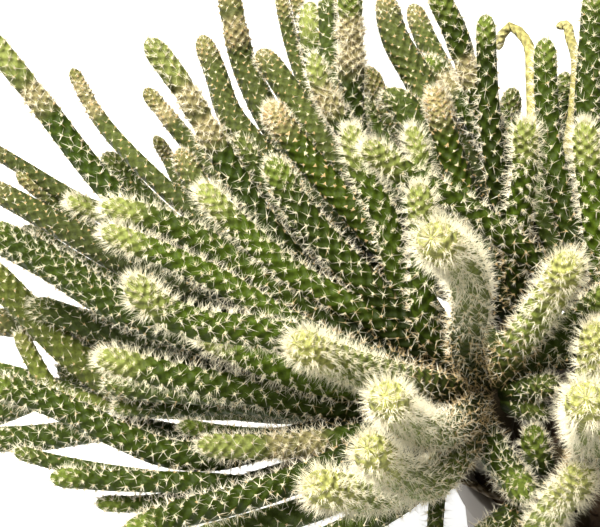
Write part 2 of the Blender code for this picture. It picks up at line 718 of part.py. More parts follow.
def make_soil(material):
    rng = random.Random(5)
    inner = hollow_radius(SOIL_TOP - 2.0 * MM) - FIT_GAP
    sides = SOIL_SIDES
    verts = [(0.0, 0.0, FLOOR + FIT_GAP)]
    rings = [[0]]
    outline = (
        (hollow_radius(FLOOR_FILLET) - 1.2 * MM, FLOOR + FIT_GAP, 0.0),
        (hollow_radius(FLOOR_FILLET) - FIT_GAP, FLOOR_FILLET + FIT_GAP, 0.0),
        (inner, SOIL_TOP - 2.0 * MM, 0.0),
        (inner * 0.86, SOIL_TOP, 0.8),
        (inner * 0.42, SOIL_TOP + 1.2 * MM, 1.2),
    )
    for radius, height, rough in outline:
        rings.append(list(range(len(verts), len(verts) + sides)))
        for s in range(sides):
            a = 2 * math.pi * s / sides
            lump = rng.uniform(-rough, rough) * MM
            verts.append((radius * math.cos(a), radius * math.sin(a), height + lump))
    rings.append([len(verts)])
    verts.append((0.0, 0.0, SOIL_TOP + 1.8 * MM))
    faces = []
    for low, high in zip(rings, rings[1:]):
        for s in range(sides):
            t = (s + 1) % sides
            corners = [low[s % len(low)], low[t % len(low)], high[t % len(high)], high[s % len(high)]]
            faces.append(list(dict.fromkeys(corners)))
    soil = add_object("soil", verts, faces, material)
    holes = []
    for centre in CROWNS.values():
        foot_point = trunk_foot(centre)
        path = np.array((foot_point - (0, 0, 2 * FIT_GAP), foot_point + (0, 0, 26 * MM)))
        radius = TRUNK_RADIUS + FIT_GAP * 1.3
        hole, faces = tube(path, (radius, radius), TRUNK_SIDES)
        holes.append(add_object("hole", hole, faces))
    cut(soil, holes)
    smooth(soil)
    return soil


def make_cutting(name, crown, stems, spines, material):
    """One rooted cutting: trunk, crown and its whorl of spiny stems, grown as one piece."""
    centre = CROWNS[crown]
    foot = trunk_foot(centre)
    top = np.array((foot[0], foot[1], SOIL_TOP + 5 * MM))
    path = np.array((foot, top, centre))
    verts, faces = tube(path, (TRUNK_RADIUS, TRUNK_RADIUS, TRUNK_RADIUS), TRUNK_SIDES)
    base = add_object(name, verts, faces, material)
    parts = bpy.data.collections.new(name + "_parts")
    bpy.context.scene.collection.children.link(parts)
    knob = bmesh.new()
    bmesh.ops.create_uvsphere(knob, u_segments=7, v_segments=4, radius=CROWN_RADIUS)
    bmesh.ops.translate(knob, verts=knob.verts, vec=tuple(centre))
    mesh = bpy.data.meshes.new("knob")
    knob.to_mesh(mesh)
    knob.free()
    parts.objects.link(bpy.data.objects.new("knob", mesh))
    for stem, places in zip(stems, spines):
        rings = ring_shares(stem)
        verts, faces = tube(stem.at(rings), ring_radii(stem), STEM_SIDES, closed_tip=True)
        add_object("stem", verts, faces, collection=parts)
        for root, direction in places:
            verts, faces = spine(root, direction)
            add_object("spine", verts, faces, collection=parts)
    union_of(base, parts)
    keep_main_body(base)
    smooth(base)
    return base


def build():
    for obj in list(bpy.data.objects):
        bpy.data.objects.remove(obj)
    make_pot(principled("pot plastic", (0.27, 0.24, 0.21), 0.55))
    make_soil(principled("peat", (0.035, 0.022, 0.014), 0.95))
    rng = random.Random(11)
    stems = seen_stems()
    stems += opposite_stems(stems, rng)
    stems += fill_stems(rng)
    worst = settle(stems)
    spines = clear_spines(stems)
    print("stems", len(stems), "spines", sum(len(s) for s in spines),
          "tightest shortfall mm", round(worst / MM, 2))
    green = principled("cactus stem", (0.10, 0.20, 0.035), 0.6)
    for crown in CROWNS:
        chosen = [k for k, stem in enumerate(stems) if stem.crown == crown]
        cutting = make_cutting("cutting_" + crown, crown, [stems[k] for k in chosen],
                               [spines[k] for k in chosen], green)
        print(cutting.name, len(chosen), "stems", len(cutting.data.polygons), "triangles")


build()
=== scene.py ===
# %% [markdown]
# # A potted mistletoe cactus, dressed for its portrait
#
# The plant is a nursery pot of rooted cuttings. Each cutting sends out a whorl of pencil-thick stems that
# are covered in a diamond lattice of woolly points, the areoles, and every areole carries a star of spines.
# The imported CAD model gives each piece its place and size. This lesson replaces its coarse solids with fine
# meshes that follow the same curves, and then adds the wool, the spines, the finishes and the light.

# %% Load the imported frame
import math
import random

import bmesh
import bpy
import numpy as np
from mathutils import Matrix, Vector
from mathutils.bvhtree import BVHTree


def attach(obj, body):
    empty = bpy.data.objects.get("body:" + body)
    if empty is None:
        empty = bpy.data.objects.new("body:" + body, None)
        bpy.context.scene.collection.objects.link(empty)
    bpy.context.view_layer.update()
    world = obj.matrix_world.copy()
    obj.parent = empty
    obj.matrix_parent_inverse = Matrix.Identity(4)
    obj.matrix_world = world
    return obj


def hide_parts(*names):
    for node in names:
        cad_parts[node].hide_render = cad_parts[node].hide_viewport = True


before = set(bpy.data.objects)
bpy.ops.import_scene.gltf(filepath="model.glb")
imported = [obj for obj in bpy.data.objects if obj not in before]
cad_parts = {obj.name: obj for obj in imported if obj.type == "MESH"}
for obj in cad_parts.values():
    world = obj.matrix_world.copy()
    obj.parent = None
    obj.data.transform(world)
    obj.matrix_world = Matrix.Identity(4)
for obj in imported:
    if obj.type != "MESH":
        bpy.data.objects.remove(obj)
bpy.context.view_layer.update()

MM = 0.001

# %% [markdown]
# ## Where the stems grow
#
# A plant this irregular is easiest to place one by one. Each stem of the left half is read as a few points in
# the view, from the tip down, with the distance of its tip, and a pinhole camera turns those into places in
# the world. The alternative, scattering stems at random, would give a plant of this kind but not this one.

# %% The view that the stems are read in
VIEW_ELEVATION = math.radians(28.0)
VIEW_POINT = np.array((-0.0766, -0.2773, 0.2705))
LENS_PIXELS = 1500.0
VIEW_MIDDLE = (300.0, 263.5)
VIEW_RIGHT = np.array((1.0, 0.0, 0.0))
VIEW_UP = np.array((0.0, math.sin(VIEW_ELEVATION), math.cos(VIEW_ELEVATION)))
VIEW_AHEAD = np.array((0.0, math.cos(VIEW_ELEVATION), -math.sin(VIEW_ELEVATION)))




def around(angle, radius, height):
    """Point at an angle in degrees round the pot's axis, sizes in millimetres."""
    a = math.radians(angle)
    return np.array((radius * math.cos(a), radius * math.sin(a), height)) * MM


def seen_point(x, y, depth):
    """Point in the world at a view pixel and a depth in millimetres."""
    d = depth * MM
    across = (x - VIEW_MIDDLE[0]) / LENS_PIXELS * d
    up = (VIEW_MIDDLE[1] - y) / LENS_PIXELS * d
    return VIEW_POINT + across * VIEW_RIGHT + up * VIEW_UP + d * VIEW_AHEAD


def view_pixel(point):
    """View pixel and depth in millimetres of a point in the world."""
    q = point - VIEW_POINT
    d = q @ VIEW_AHEAD
    x = VIEW_MIDDLE[0] + LENS_PIXELS * (q @ VIEW_RIGHT) / d
    y = VIEW_MIDDLE[1] - LENS_PIXELS * (q @ VIEW_UP) / d
    return x, y, d / MM


def turned(points, angle):
    """Points turned round the pot's axis by an angle in radians."""
    c, s = math.cos(angle), math.sin(angle)
    return points @ np.array(((c, s, 0.0), (-s, c, 0.0), (0.0, 0.0, 1.0)))


def unit(v):
    return v / np.linalg.norm(v)


# %% Crowns: the points where each cutting branches
CROWN_RADIUS = 7.0 * MM
POT_TOP_RADIUS = 42.5 * MM
POT_HEIGHT = 76.0 * MM
# Crowns of the left half; the right half repeats them half a turn round the pot.
LEFT_CROWNS = {
    "west": around(184, 36, 92),
    "west_low": around(162, 36, 86),
    "north_west": around(139, 33, 92),
    "inner": around(150, 9, 98),
    "south_west": around(229, 33, 87),
}
FILL_CROWNS = {
    "south": around(279, 33, 88),
    "north": around(99, 33, 92),
}
OPPOSITE = {
    "west": "east",
    "west_low": "east_low",
    "north_west": "south_east",
    "inner": "inner_east",
    "south_west": "north_east",
}

def all_crowns():
    crowns = dict(LEFT_CROWNS)
    for name, other in OPPOSITE.items():
        crowns[other] = turned(LEFT_CROWNS[name], math.pi)
    crowns.update(FILL_CROWNS)
    return crowns


CROWNS = all_crowns()


print(len(CROWNS), "crowns")

# %% The table of stems
# Stems as the view shows them: crown, distance of the tip in mm, width in view pixels,
# growth joints in pixels from the tip, kind, then view pixels from the tip downwards.
STEMS = (
    ("west", 335, 26, (75,), "young", (-15, 33), (37, 98), (105, 182), (190, 262)),
    ("west_low", 395, 19, (20, 45), "slender", (72, 69), (96, 113), (143, 168), (170, 194)),
    ("west", 330, 27, (65, 101), "young", (147, 39), (181, 85), (222, 157), (282, 250)),
    ("west_low", 400, 22, (32,), "slender", (145, 89), (164, 115), (190, 147)),
    ("west_low", 415, 18, (), "slender", (155, 137), (163, 157), (174, 182)),
    ("west_low", 385, 30, (), "slender", (179, 150), (192, 180), (212, 212)),
    ("north_west", 400, 28, (), "slender", (201, 36), (216, 74), (237, 110), (264, 143)),
    ("north_west", 404, 31, (45,), "slender", (227, -16), (234, 22), (242, 45), (262, 92)),
    ("north_west", 390, 30, (), "slender", (260, 53), (279, 82), (301, 114)),
    ("north_west", 415, 19, (), "slender", (280, -8), (289, 45), (304, 90)),
    ("north_west", 405, 19, (), "slender", (294, -12), (300, 56), (309, 100)),
    ("north_west", 375, 24, (), "young", (310, 4), (311, 30), (316, 60)),
    ("north_west", 335, 28, (35, 60), "grown", (349, -15), (352, 50), (352, 112)),
    ("north_west", 332, 23, (38,), "young", (313, 53), (320, 84), (342, 124)),
    ("north_west", 385, 30, (), "slender", (367, 66), (382, 97), (402, 130)),
    ("west", 345, 27, (), "woolly", (267, 103), (300, 150), (330, 185), (372, 232)),
    ("west", 318, 31, (), "grown", (270, 157), (290, 195), (325, 240), (372, 290)),
    ("west_low", 400, 24, (), "old", (224, 118), (262, 152)),
    ("west", 322, 26, (), "downy", (198, 185), (237, 225), (290, 272), (360, 312)),
    ("west", 340, 20, (), "downy", (67, 199), (100, 213), (160, 246)),
    ("west", 325, 28, (), "downy", (101, 206), (160, 222), (220, 252), (310, 310)),
    ("west", 318, 25, (), "downy", (101, 230), (150, 249), (205, 273), (300, 325)),
    ("west", 285, 34, (), "downy", (130, 277), (150, 302), (190, 322), (260, 332)),
    ("west", 335, 25, (), "shaded", (290, 288), (350, 303)),
    ("west", 312, 29, (), "downy", (192, 328), (235, 350), (300, 377)),
    ("west", 315, 29, (), "downy", (96, 356), (170, 375), (240, 388), (350, 405)),
    ("west", 320, 30, (), "grown",
     (-20, 384), (30, 395), (70, 411), (120, 435), (165, 453), (210, 457), (262, 446)),
    ("west_low", 350, 20, (), "grown", (113, 407), (185, 407), (240, 401), (300, 397)),
    ("west_low", 380, 28, (), "grown", (-20, 440), (45, 437), (110, 428), (190, 440), (300, 442)),
    ("west_low", 350, 17, (), "shaded", (14, 451), (50, 461), (90, 469), (160, 479), (225, 484)),
    ("west_low", 330, 18, (), "grown", (178, 425), (215, 432), (260, 436)),
    ("west", 312, 28, (75, 105), "young", (197, 445), (260, 447), (350, 438)),
    ("west", 318, 23, (), "grown", (50, 477), (120, 481), (200, 482), (268, 486)),
    ("west", 322, 19, (), "grown", (96, 503), (140, 504), (190, 498), (260, 480)),
    ("west", 285, 31, (), "grown", (122, 537), (170, 517), (230, 502), (290, 482), (370, 448)),
    ("west", 322, 26, (), "downy", (349, 125), (362, 172), (386, 220), (398, 275)),
    ("inner", 300, 28, (), "downy", (363, 144), (408, 176), (470, 212), (535, 262)),
    ("north_west", 390, 33, (), "slender", (386, -5), (400, 40), (415, 85), (434, 134)),
    ("north_west", 410, 27, (), "slender", (412, 5), (426, 40), (445, 80), (466, 150)),
    ("north_west", 345, 27, (), "woolly", (433, 86), (446, 140), (458, 184)),
    ("north_west", 328, 27, (82,), "grown",
     (434, -16), (442, 4), (455, 28), (466, 56), (480, 100), (498, 150)),
    ("north_west", 330, 22, (), "grown", (484, 15), (486, 50), (491, 115)),
    ("inner", 335, 25, (), "grown", (545, 38), (546, 90), (550, 140)),
    ("north_west", 318, 27, (), "downy", (526, 119), (524, 180), (516, 232)),
    ("inner", 318, 28, (), "downy", (584, 120), (587, 155), (593, 200)),
    ("inner", 345, 28, (), "grown", (595, -12), (592, 40), (588, 100)),
    ("north_west", 350, 22, (), "downy", (411, 126), (414, 150), (420, 180)),
    ("west", 300, 29, (), "downy", (419, 183), (424, 250), (428, 330)),
    ("west", 222, 47, (), "hairy", (431, 238), (462, 262), (471, 300), (466, 350)),
    ("north_west", 388, 11, (), "dry", (498, 50), (503, 33), (512, 26), (520, 33), (525, 50), (527, 82)),
    ("north_west", 392, 11, (), "dry", (556, 27), (566, 25), (570, 38), (571, 66), (569, 100)),
    ("north_west", 385, 24, (), "shaded", (513, 88), (514, 114), (518, 145)),
    ("west", 280, 38, (), "hairy", (574, 257), (544, 307), (510, 357)),
    ("west", 262, 39, (), "hairy", (294, 343), (360, 369), (430, 386)),
    ("west", 228, 44, (), "hairy", (384, 396), (414, 425), (442, 440)),
    ("west", 240, 44, (), "hairy", (367, 448), (398, 472), (426, 479), (452, 452)),
    ("west", 250, 42, (), "hairy", (312, 486), (350, 492), (396, 487), (442, 466)),
    ("south_west", 285, 33, (), "hairy", (597, 322), (590, 380)),
    ("south_west", 225, 48, (), "hairy", (586, 398), (590, 432), (592, 456)),
    ("south_west", 300, 29, (), "grown", (530, 428), (534, 462)),
    ("south_west", 262, 36, (), "hairy", (588, 470), (558, 502), (535, 535)),
    ("west", 290, 34, (), "grown", (530, 508), (506, 462), (485, 425)),
    ("south_west", 280, 34, (), "shaded", (470, 545), (508, 512)),
    ("west", 292, 18, (), "shaded", (434, 545), (437, 500), (442, 455)),
    ("south_west", 320, 8, (), "bark", (446, 474), (470, 483), (500, 497)),
    ("west_low", 385, 19, (), "slender", (-20, 142), (20, 166), (60, 192)),
    ("west_low", 375, 29, (), "slender", (-20, 182), (60, 226), (120, 262)),
    ("west_low", 350, 37, (), "grown", (-20, 227), (50, 264), (110, 302)),
    ("west_low", 372, 33, (), "old", (-20, 261), (30, 312), (80, 360), (120, 386), (200, 392), (290, 386)),
    ("west_low", 385, 36, (), "slender", (-20, 319), (40, 327), (90, 344), (150, 370)),
    ("west_low", 372, 19, (), "old", (18, 331), (36, 363), (54, 388), (110, 402), (200, 405), (290, 402)),
    ("west_low", 365, 28, (), "shaded", (30, 304), (60, 315), (100, 327), (160, 347), (230, 363)),
    ("west_low", 384, 27, (), "shaded", (60, 364), (90, 386), (120, 398), (200, 400), (290, 400)),
    ("west_low", 345, 24, (), "shaded", (104, 384), (150, 391), (205, 394), (270, 396)),
    ("west_low", 392, 26, (), "shaded", (-25, 422), (5, 411), (40, 397), (100, 384), (170, 380)),
    ("west_low", 383, 22, (), "shaded", (22, 228), (80, 262), (125, 286)),
    ("west_low", 378, 20, (), "slender", (17, 172), (56, 208), (110, 246)),
    ("west_low", 402, 30, (), "shaded", (104, 153), (130, 177), (158, 204)),
    ("west", 345, 26, (), "shaded", (234, 138), (262, 180), (298, 226)),
    ("north_west", 372, 21, (), "shaded", (327, -12), (332, 40), (338, 92)),
    ("north_west", 376, 32, (), "shaded", (386, 94), (399, 118), (412, 150)),
    ("north_west", 370, 20, (), "shaded", (364, 98), (376, 128), (392, 156)),
    ("west", 302, 30, (), "shaded", (190, 542), (260, 524), (326, 503), (380, 474)),
    ("west", 292, 35, (), "grown", (616, 290), (576, 324), (532, 362)),
    ("west", 306, 26, (), "shaded", (556, 383), (530, 388), (507, 392)),
    ("west", 312, 26, (), "shaded", (548, 414), (522, 406), (502, 400)),
    ("inner", 352, 28, (), "shaded", (476, 300), (504, 330), (552, 350)),
    ("west_low", 378, 20, (), "shaded", (-22, 366), (20, 377), (60, 390), (110, 396), (200, 396)),
    ("west", 290, 30, (), "shaded", (300, 552), (352, 528), (404, 498)),
    ("inner", 346, 24, (), "shaded", (540, 132), (541, 172), (546, 215)),
    ("north_west", 392, 22, (), "shaded", (566, 72), (566, 112), (564, 152)),
    ("inner", 352, 22, (), "shaded", (575, 152), (578, 190), (583, 230)),
)
print(len(STEMS), "stems read from the view")

# %% [markdown]
# ## From table to curves
#
# A stem is a smooth curve from its crown through the points of the table to its tip. The right half repeats
# the left half, turned half round the pot with small random changes, and a short list of arching stems closes
# the gaps between them. A fixed seed makes the draw the same on every run.

# %% A stem and its smooth curve
class Stem:
    """One stem: its crown, control points from the crown to the tip, radius and joints."""

    def __init__(self, crown, points, radius, joints, kind, held):
        self.crown = crown
        self.points = np.array(points)
        self.radius = radius
        self.joints = joints
        self.kind = kind
        self.held = held
        steps = np.linalg.norm(np.diff(self.points, axis=0), axis=1)
        self.knots = np.concatenate(((0.0,), np.cumsum(steps)))
        self.length = self.knots[-1]

    def weights(self, fractions):
        """Rows that give points at fractions of the length from the control points."""
        return hermite(np.eye(len(self.points)), self.knots, fractions)

    def at(self, fractions):
        return self.weights(fractions) @ self.points


def hermite(points, knots, fractions):
    """Smooth curve through points at knots, sampled at fractions of the last knot."""
    slopes = np.diff(points, axis=0) / np.diff(knots)[:, None]
    tangents = [slopes[0]]
    for k in range(1, len(points) - 1):
        before = knots[k] - knots[k - 1]
        after = knots[k + 1] - knots[k]
        tangents.append((after * slopes[k - 1] + before * slopes[k]) / (before + after))
    tangents.append(slopes[-1])
    rows = []
    for fraction in fractions:
        u = fraction * knots[-1]
        k = int(np.clip(np.searchsorted(knots, u) - 1, 0, len(points) - 2))
        h = knots[k + 1] - knots[k]
        t = (u - knots[k]) / h
        rows.append((1 + 2 * t) * (1 - t) ** 2 * points[k] + t * (1 - t) ** 2 * h * tangents[k]
                    + t * t * (3 - 2 * t) * points[k + 1] + t * t * (t - 1) * h * tangents[k + 1])
    return np.array(rows)


# %% Stems of the left half, the right half and the gaps
def seen_stems():
    """The stems of the table, with depth running evenly from the crown to the tip."""
    stems = []
    for crown, tip_depth, width, joints, kind, *pixels in STEMS:
        centre = CROWNS[crown]
        x, y, crown_depth = view_pixel(centre)
        path = [(x, y)] + pixels[::-1]
        run = [0.0]
        for (x0, y0), (x1, y1) in zip(path, path[1:]):
            run.append(run[-1] + math.hypot(x1 - x0, y1 - y0))
        points = [seen_point(px, py, crown_depth + (tip_depth - crown_depth) * along / run[-1])
                  for (px, py), along in zip(path, run)]
        points[0] = centre + unit(points[1] - centre) * CROWN_RADIUS * 0.5
        radius = width * tip_depth / (2.0 * LENS_PIXELS) * MM
        scale = tip_depth / LENS_PIXELS * MM
        stems.append(Stem(crown, points, radius, [j * scale for j in joints], kind, True))
    return stems


def opposite_stems(stems, rng):
    """The same growth on the pot's other side, turned half round and varied a little."""
    others = []
    for stem in stems:
        if stem.kind in ("dry", "shaded") or stem.radius < 1.7 * MM:
            continue
        crown = OPPOSITE[stem.crown]
        centre = CROWNS[crown]
        angle = math.pi + math.radians(rng.uniform(-7, 7))
        points = turned(stem.points, angle)
        reach = rng.uniform(0.90, 1.02)
        lift = rng.uniform(-5, 7) * MM
        share = np.linspace(0.0, 1.0, len(points))[:, None]
        points = centre + (points - points[0]) * reach + share * np.array((0.0, 0.0, lift))
        points[0] = centre + unit(points[1] - centre) * CROWN_RADIUS * 0.5
        radius = stem.radius * rng.uniform(0.94, 1.04)
        joints = stem.joints or [rng.uniform(9, 17) * MM]
        others.append(Stem(crown, points, radius, joints, stem.kind, False))
    return others


FILL = (
    # crown, heading, rise and length of each stem, in degrees and millimetres
    ("south", 227, 10, 92), ("south", 336, 14, 98), ("south", 262, 8, 84), ("south", 301, 12, 100),
    ("south", 240, 30, 88), ("south", 322, 34, 96), ("south", 284, 38, 92), ("south", 254, 56, 84),
    ("south", 345, 58, 90), ("south", 296, 66, 82), ("south", 276, 22, 96),
    ("north", 34, 10, 92), ("north", 142, 14, 84), ("north", 72, 8, 96), ("north", 107, 12, 98),
    ("north", 47, 30, 100), ("north", 128, 36, 88), ("north", 60, 58, 88),
    ("north", 70, 68, 84), ("north", 82, 24, 100),
    ("inner", 58, 74, 74), ("inner", 285, 74, 62),
    ("inner_east", 20, 78, 72), ("inner_east", 120, 76, 66),
    ("inner_east", 265, 68, 70), ("inner_east", 320, 58, 76),
    ("north_east", 48, 34, 96), ("north_east", 70, 12, 92), ("north_east", 20, 52, 86),
)


def fill_stems(rng):
    """Arching stems that close the ring between the halves and the middle of the plant."""
    stems = []
    up = np.array((0.0, 0.0, 1.0))
    for crown, heading, rise, length in FILL:
        centre = CROWNS[crown]
        turn, rise = math.radians(heading), math.radians(rise)
        length *= MM
        out = np.array((math.cos(turn), math.sin(turn), 0.0))
        aside = np.array((-out[1], out[0], 0.0)) * rng.uniform(-6, 6) * MM
        middle = centre + length * 0.5 * (out * math.cos(rise) + up * math.sin(rise)) + aside
        tip = centre + length * (out * math.cos(rise) + up * (math.sin(rise) - 0.10))
        base = centre + unit(middle - centre) * CROWN_RADIUS * 0.5
        radius = rng.uniform(2.9, 3.5) * MM
        stems.append(Stem(crown, (base, middle, tip), radius, [rng.uniform(9, 17) * MM],
                          "grown", False))
    return stems


# %% [markdown]
# ## Easing crossing stems apart
#
# Stems drawn independently run through each other. A relaxation loop measures every pair of sample points,
# pushes those that are too close apart, and repeats. Stems read from the view slide mostly along the line of
# sight, so their place in the picture stays.

# %% Relax the stems
STEM_RINGS = (0.0, 0.20, 0.50, 0.80)
CLEARANCE = 1.3 * MM
TRUNK_RADIUS = 3.0 * MM
TRUNK_FOOT = 50.0 * MM


def trunk_foot(centre):
    return np.array((centre[0] * 0.80, centre[1] * 0.80, TRUNK_FOOT))


def settle(stems, rounds=90):
    """Ease crossing stems apart; those read from the view move mostly along it."""
    shares = np.linspace(0.0, 1.0, 25)
    rows = []
    for stem in stems:
        rings = ring_shares(stem)
        ring_rows = stem.weights(rings)
        rows.append(np.array([np.interp(shares, rings, column) for column in ring_rows.T]).T)
    owner = np.repeat(np.arange(len(stems)), len(shares))
    radii = np.concatenate([np.interp(shares, ring_shares(s), ring_radii(s)) for s in stems])
    far = np.concatenate([shares * s.length for s in stems])
    crown_names = list(CROWNS)
    crown = np.array([crown_names.index(stems[k].crown) for k in owner])
    posts = []
    for number, centre in enumerate(CROWNS.values()):
        posts.append((centre, CROWN_RADIUS, number))
        foot = trunk_foot(centre)
        for share in (0.75, 0.5, 0.25):
            posts.append((foot + (centre - foot) * share, TRUNK_RADIUS, number))
    post_points = np.array([p[0] for p in posts])
    post_radii = np.array([p[1] for p in posts])
    post_crowns = np.array([p[2] for p in posts])
    worst = 0.0
    for _ in range(rounds):
        samples = np.concatenate([r @ s.points for r, s in zip(rows, stems)])
        push = np.zeros_like(samples)
        squares = (samples ** 2).sum(axis=1)
        apart = squares[:, None] + squares[None, :] - 2.0 * samples @ samples.T
        first, second = np.nonzero(np.triu(apart < (9.5 * MM) ** 2, 1))
        mask = owner[first] != owner[second]
        first, second = first[mask], second[mask]
        gap = np.where(crown[first] == crown[second], -0.8 * MM, CLEARANCE)
        together = (crown[first] == crown[second]) & (np.minimum(far[first], far[second]) < 26 * MM)
        between = samples[first] - samples[second]
        distance = np.linalg.norm(between, axis=1) + 1e-9
        deficit = radii[first] + radii[second] + gap - distance
        mask = (deficit > 0) & ~together
        worst = deficit[mask & (crown[first] != crown[second])].max(initial=0.0)
        shift = (0.5 * deficit[mask] / distance[mask])[:, None] * between[mask]
        np.add.at(push, first[mask], shift)
        np.add.at(push, second[mask], -shift)
        for point, radius, number in zip(post_points, post_radii, post_crowns):
            away = samples - point
            distance = np.linalg.norm(away, axis=1) + 1e-9
            deficit = radii + radius + CLEARANCE - distance
            mask = (deficit > 0) & (crown != number)
            push[mask] += (deficit[mask] / distance[mask])[:, None] * away[mask]
        out = np.hypot(samples[:, 0], samples[:, 1])
        low = POT_HEIGHT + radii + 1.5 * MM - samples[:, 2]
        rim = POT_TOP_RADIUS + radii + 1.5 * MM - out
        mask = (low > 0) & (rim > 0)
        lift = mask & (low < rim)
        push[lift, 2] += low[lift]
        aside = mask & ~lift
        push[aside, :2] += (rim[aside] / out[aside])[:, None] * samples[aside, :2]
        start = 0
        for row, stem in zip(rows, stems):
            part = push[start:start + len(shares)]
            start += len(shares)
            if not part.any():
                continue
            weight = np.abs(row) + 1e-9
            move = (weight.T @ part) / (weight.T @ (np.abs(part).sum(axis=1) > 0) + 0.6)[:, None]
            if stem.held:
                sight = stem.points - VIEW_POINT
                sight /= np.linalg.norm(sight, axis=1)[:, None]
                inward = (move * sight).sum(axis=1)[:, None] * sight
                move = inward * 1.4 + (move - inward) * 0.35
            move[0] = 0.0
            stem.points = stem.points + move
    return worst


def ring_shares(stem):
    """Fractions of the length that carry a ring of vertices."""
    return np.array(STEM_RINGS + (1.0 - 0.85 * stem.radius / stem.length, 1.0))


def ring_radii(stem):
    """Radius at each ring: a narrow neck, a full body, a pinched joint and a round tip."""
    radii = np.array((0.55, 0.94, 1.0, 0.98, 0.74, 0.05)) * stem.radius
    if stem.kind == "slender":
        radii[3:5] = 0.93 * stem.radius, 0.60 * stem.radius
    for joint in stem.joints:
        share = 1.0 - joint / stem.length
        ring = int(np.argmin(np.abs(ring_shares(stem)[2:4] - share))) + 2
        radii[ring] = 0.86 * stem.radius
    return radii


rng = random.Random(11)
stems = seen_stems()
stems += opposite_stems(stems, rng)
stems += fill_stems(rng)
worst = settle(stems)
print(len(stems), "stems, tightest shortfall", round(worst / MM, 3), "mm")

# %% [markdown]
# ## A fine skin for each stem
#
# On the real plant a stem is a soft cylinder with a rounded tip, a narrow neck where it joins its parent and
# a waist at each growth joint. It could be a bevelled curve, but a tube built ring by ring lets the radius,
# the colour and the lattice coordinates follow the distance from the tip, which is how the plant grows.

# %% Mesh helper that takes whole arrays
def make_mesh(name, verts, faces, body="root", smooth=True):
    """Object from an array of vertices and an array of faces that all have the same corner count."""
    verts = np.asarray(verts, dtype=np.float32)
    faces = np.asarray(faces, dtype=np.int32)
    mesh = bpy.data.meshes.new(name)
    mesh.vertices.add(len(verts))
    mesh.vertices.foreach_set("co", verts.ravel())
    mesh.loops.add(faces.size)
    mesh.loops.foreach_set("vertex_index", faces.ravel())
    mesh.polygons.add(len(faces))
    corners = faces.shape[1]
    mesh.polygons.foreach_set("loop_start", np.arange(0, faces.size, corners, dtype=np.int32))
    mesh.polygons.foreach_set("use_smooth", np.full(len(faces), smooth))
    mesh.update(calc_edges=True)
    obj = bpy.data.objects.new(name, mesh)
    bpy.context.scene.collection.objects.link(obj)
    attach(obj, body)
    return obj


def linear(hex_colour):
    """sRGB hex colour to linear red, green and blue."""
    values = [int(hex_colour[i:i + 2], 16) / 255 for i in (1, 3, 5)]
    return np.array([v / 12.92 if v <= 0.04045 else ((v + 0.055) / 1.055) ** 2.4 for v in values])


def eased(value, low, high):
    """Smooth step from 0 at low to 1 at high."""
    t = np.clip((value - low) / (high - low), 0.0, 1.0)
    return t * t * (3.0 - 2.0 * t)

# %% Growth by distance from the tip
RING_STEP = 3.0 * MM
COLUMN_GAP = 1.75 * MM
HALF_ROW = 1.72 * MM
BAND_LENGTH = 7.0 * MM
# Tones of each kind: bright new growth, green, and a deep tone used as painted shade towards the base.
TONES = {
    "young": (linear("#7C8444"), linear("#2F3E09"), linear("#1B2504")),
    "grown": (linear("#606E2A"), linear("#2D3A08"), linear("#1A2304")),
    "downy": (linear("#808846"), linear("#3C4C0C"), linear("#222C06")),
    "hairy": (linear("#9EA05C"), linear("#717C3A"), linear("#3A4814")),
    "woolly": (linear("#6B6A33"), linear("#36440A"), linear("#242E06")),
    "slender": (linear("#6C6C38"), linear("#485024"), linear("#2F3818")),
    "shaded": (linear("#545E28"), linear("#3A4618"), linear("#232D0A")),
    "old": (linear("#72743A"), linear("#505822"), linear("#3C4416")),
    "dry": (linear("#BDB47A"), linear("#A49C60"), linear("#7A7342")),
    # A twig lies across the pot's rim in the plant's shadow; its dark brown is painted shade.
    "bark": (linear("#54462F"), linear("#443926"), linear("#342C1F")),
}
BAND_TONE = linear("#BCAA7C")
# Painted shade: the share by which a stem's colour darkens at its base.
BASE_SHADE = 0.70


def base_share(stem, distance):
    """How far into its base, which gets painted shade, a distance from the tip lies, 0 to 1."""
    first, last = (0.45, 0.80) if stem.kind == "hairy" else (0.42, 0.85)
    return eased(distance / stem.length, first, last)


def band_share(stem, distance):
    """How much of a growth joint's tan scurf lies at a distance from the tip, 0 to 1."""
    share = np.zeros_like(distance)
    for joint in stem.joints:
        rise = eased(distance, joint - 2.0 * MM, joint)
        fall = 1.0 - eased(distance, joint + 0.5 * BAND_LENGTH, joint + BAND_LENGTH)
        share = np.maximum(share, rise * fall)
    if stem.kind == "woolly":
        share = np.maximum(share, 1.0 - eased(distance, 5.0 * MM, 12.0 * MM))
    if stem.kind == "slender":
        rise = eased(distance, 1.0 * MM, 4.0 * MM)
        share = np.maximum(share, 0.35 * rise * (1.0 - eased(distance, 6.0 * MM, 12.0 * MM)))
    return share


def body_radius(stem, distance):
    """Radius of the fine stem at distances from the tip."""
    shares = 1.0 - distance / stem.length
    end = {"slender": 0.74, "hairy": 0.96, "downy": 0.94, "woolly": 0.98}.get(stem.kind, 0.90)
    radius = np.interp(shares, (0.0, 0.20, 0.50, 0.80, 1.0), (0.55, 0.94, 1.0, 0.5 + 0.5 * end, end))
    dome = 1.5 * stem.radius
    near = np.clip(distance / dome, 0.0, 1.0)
    radius *= np.sqrt(np.clip(1.0 - (1.0 - near) ** 2.0, 0.0, 1.0))
    for joint in stem.joints:
        radius *= 1.0 - 0.13 * np.exp(-((distance - joint) / (1.3 * MM)) ** 2)
    return radius * stem.radius


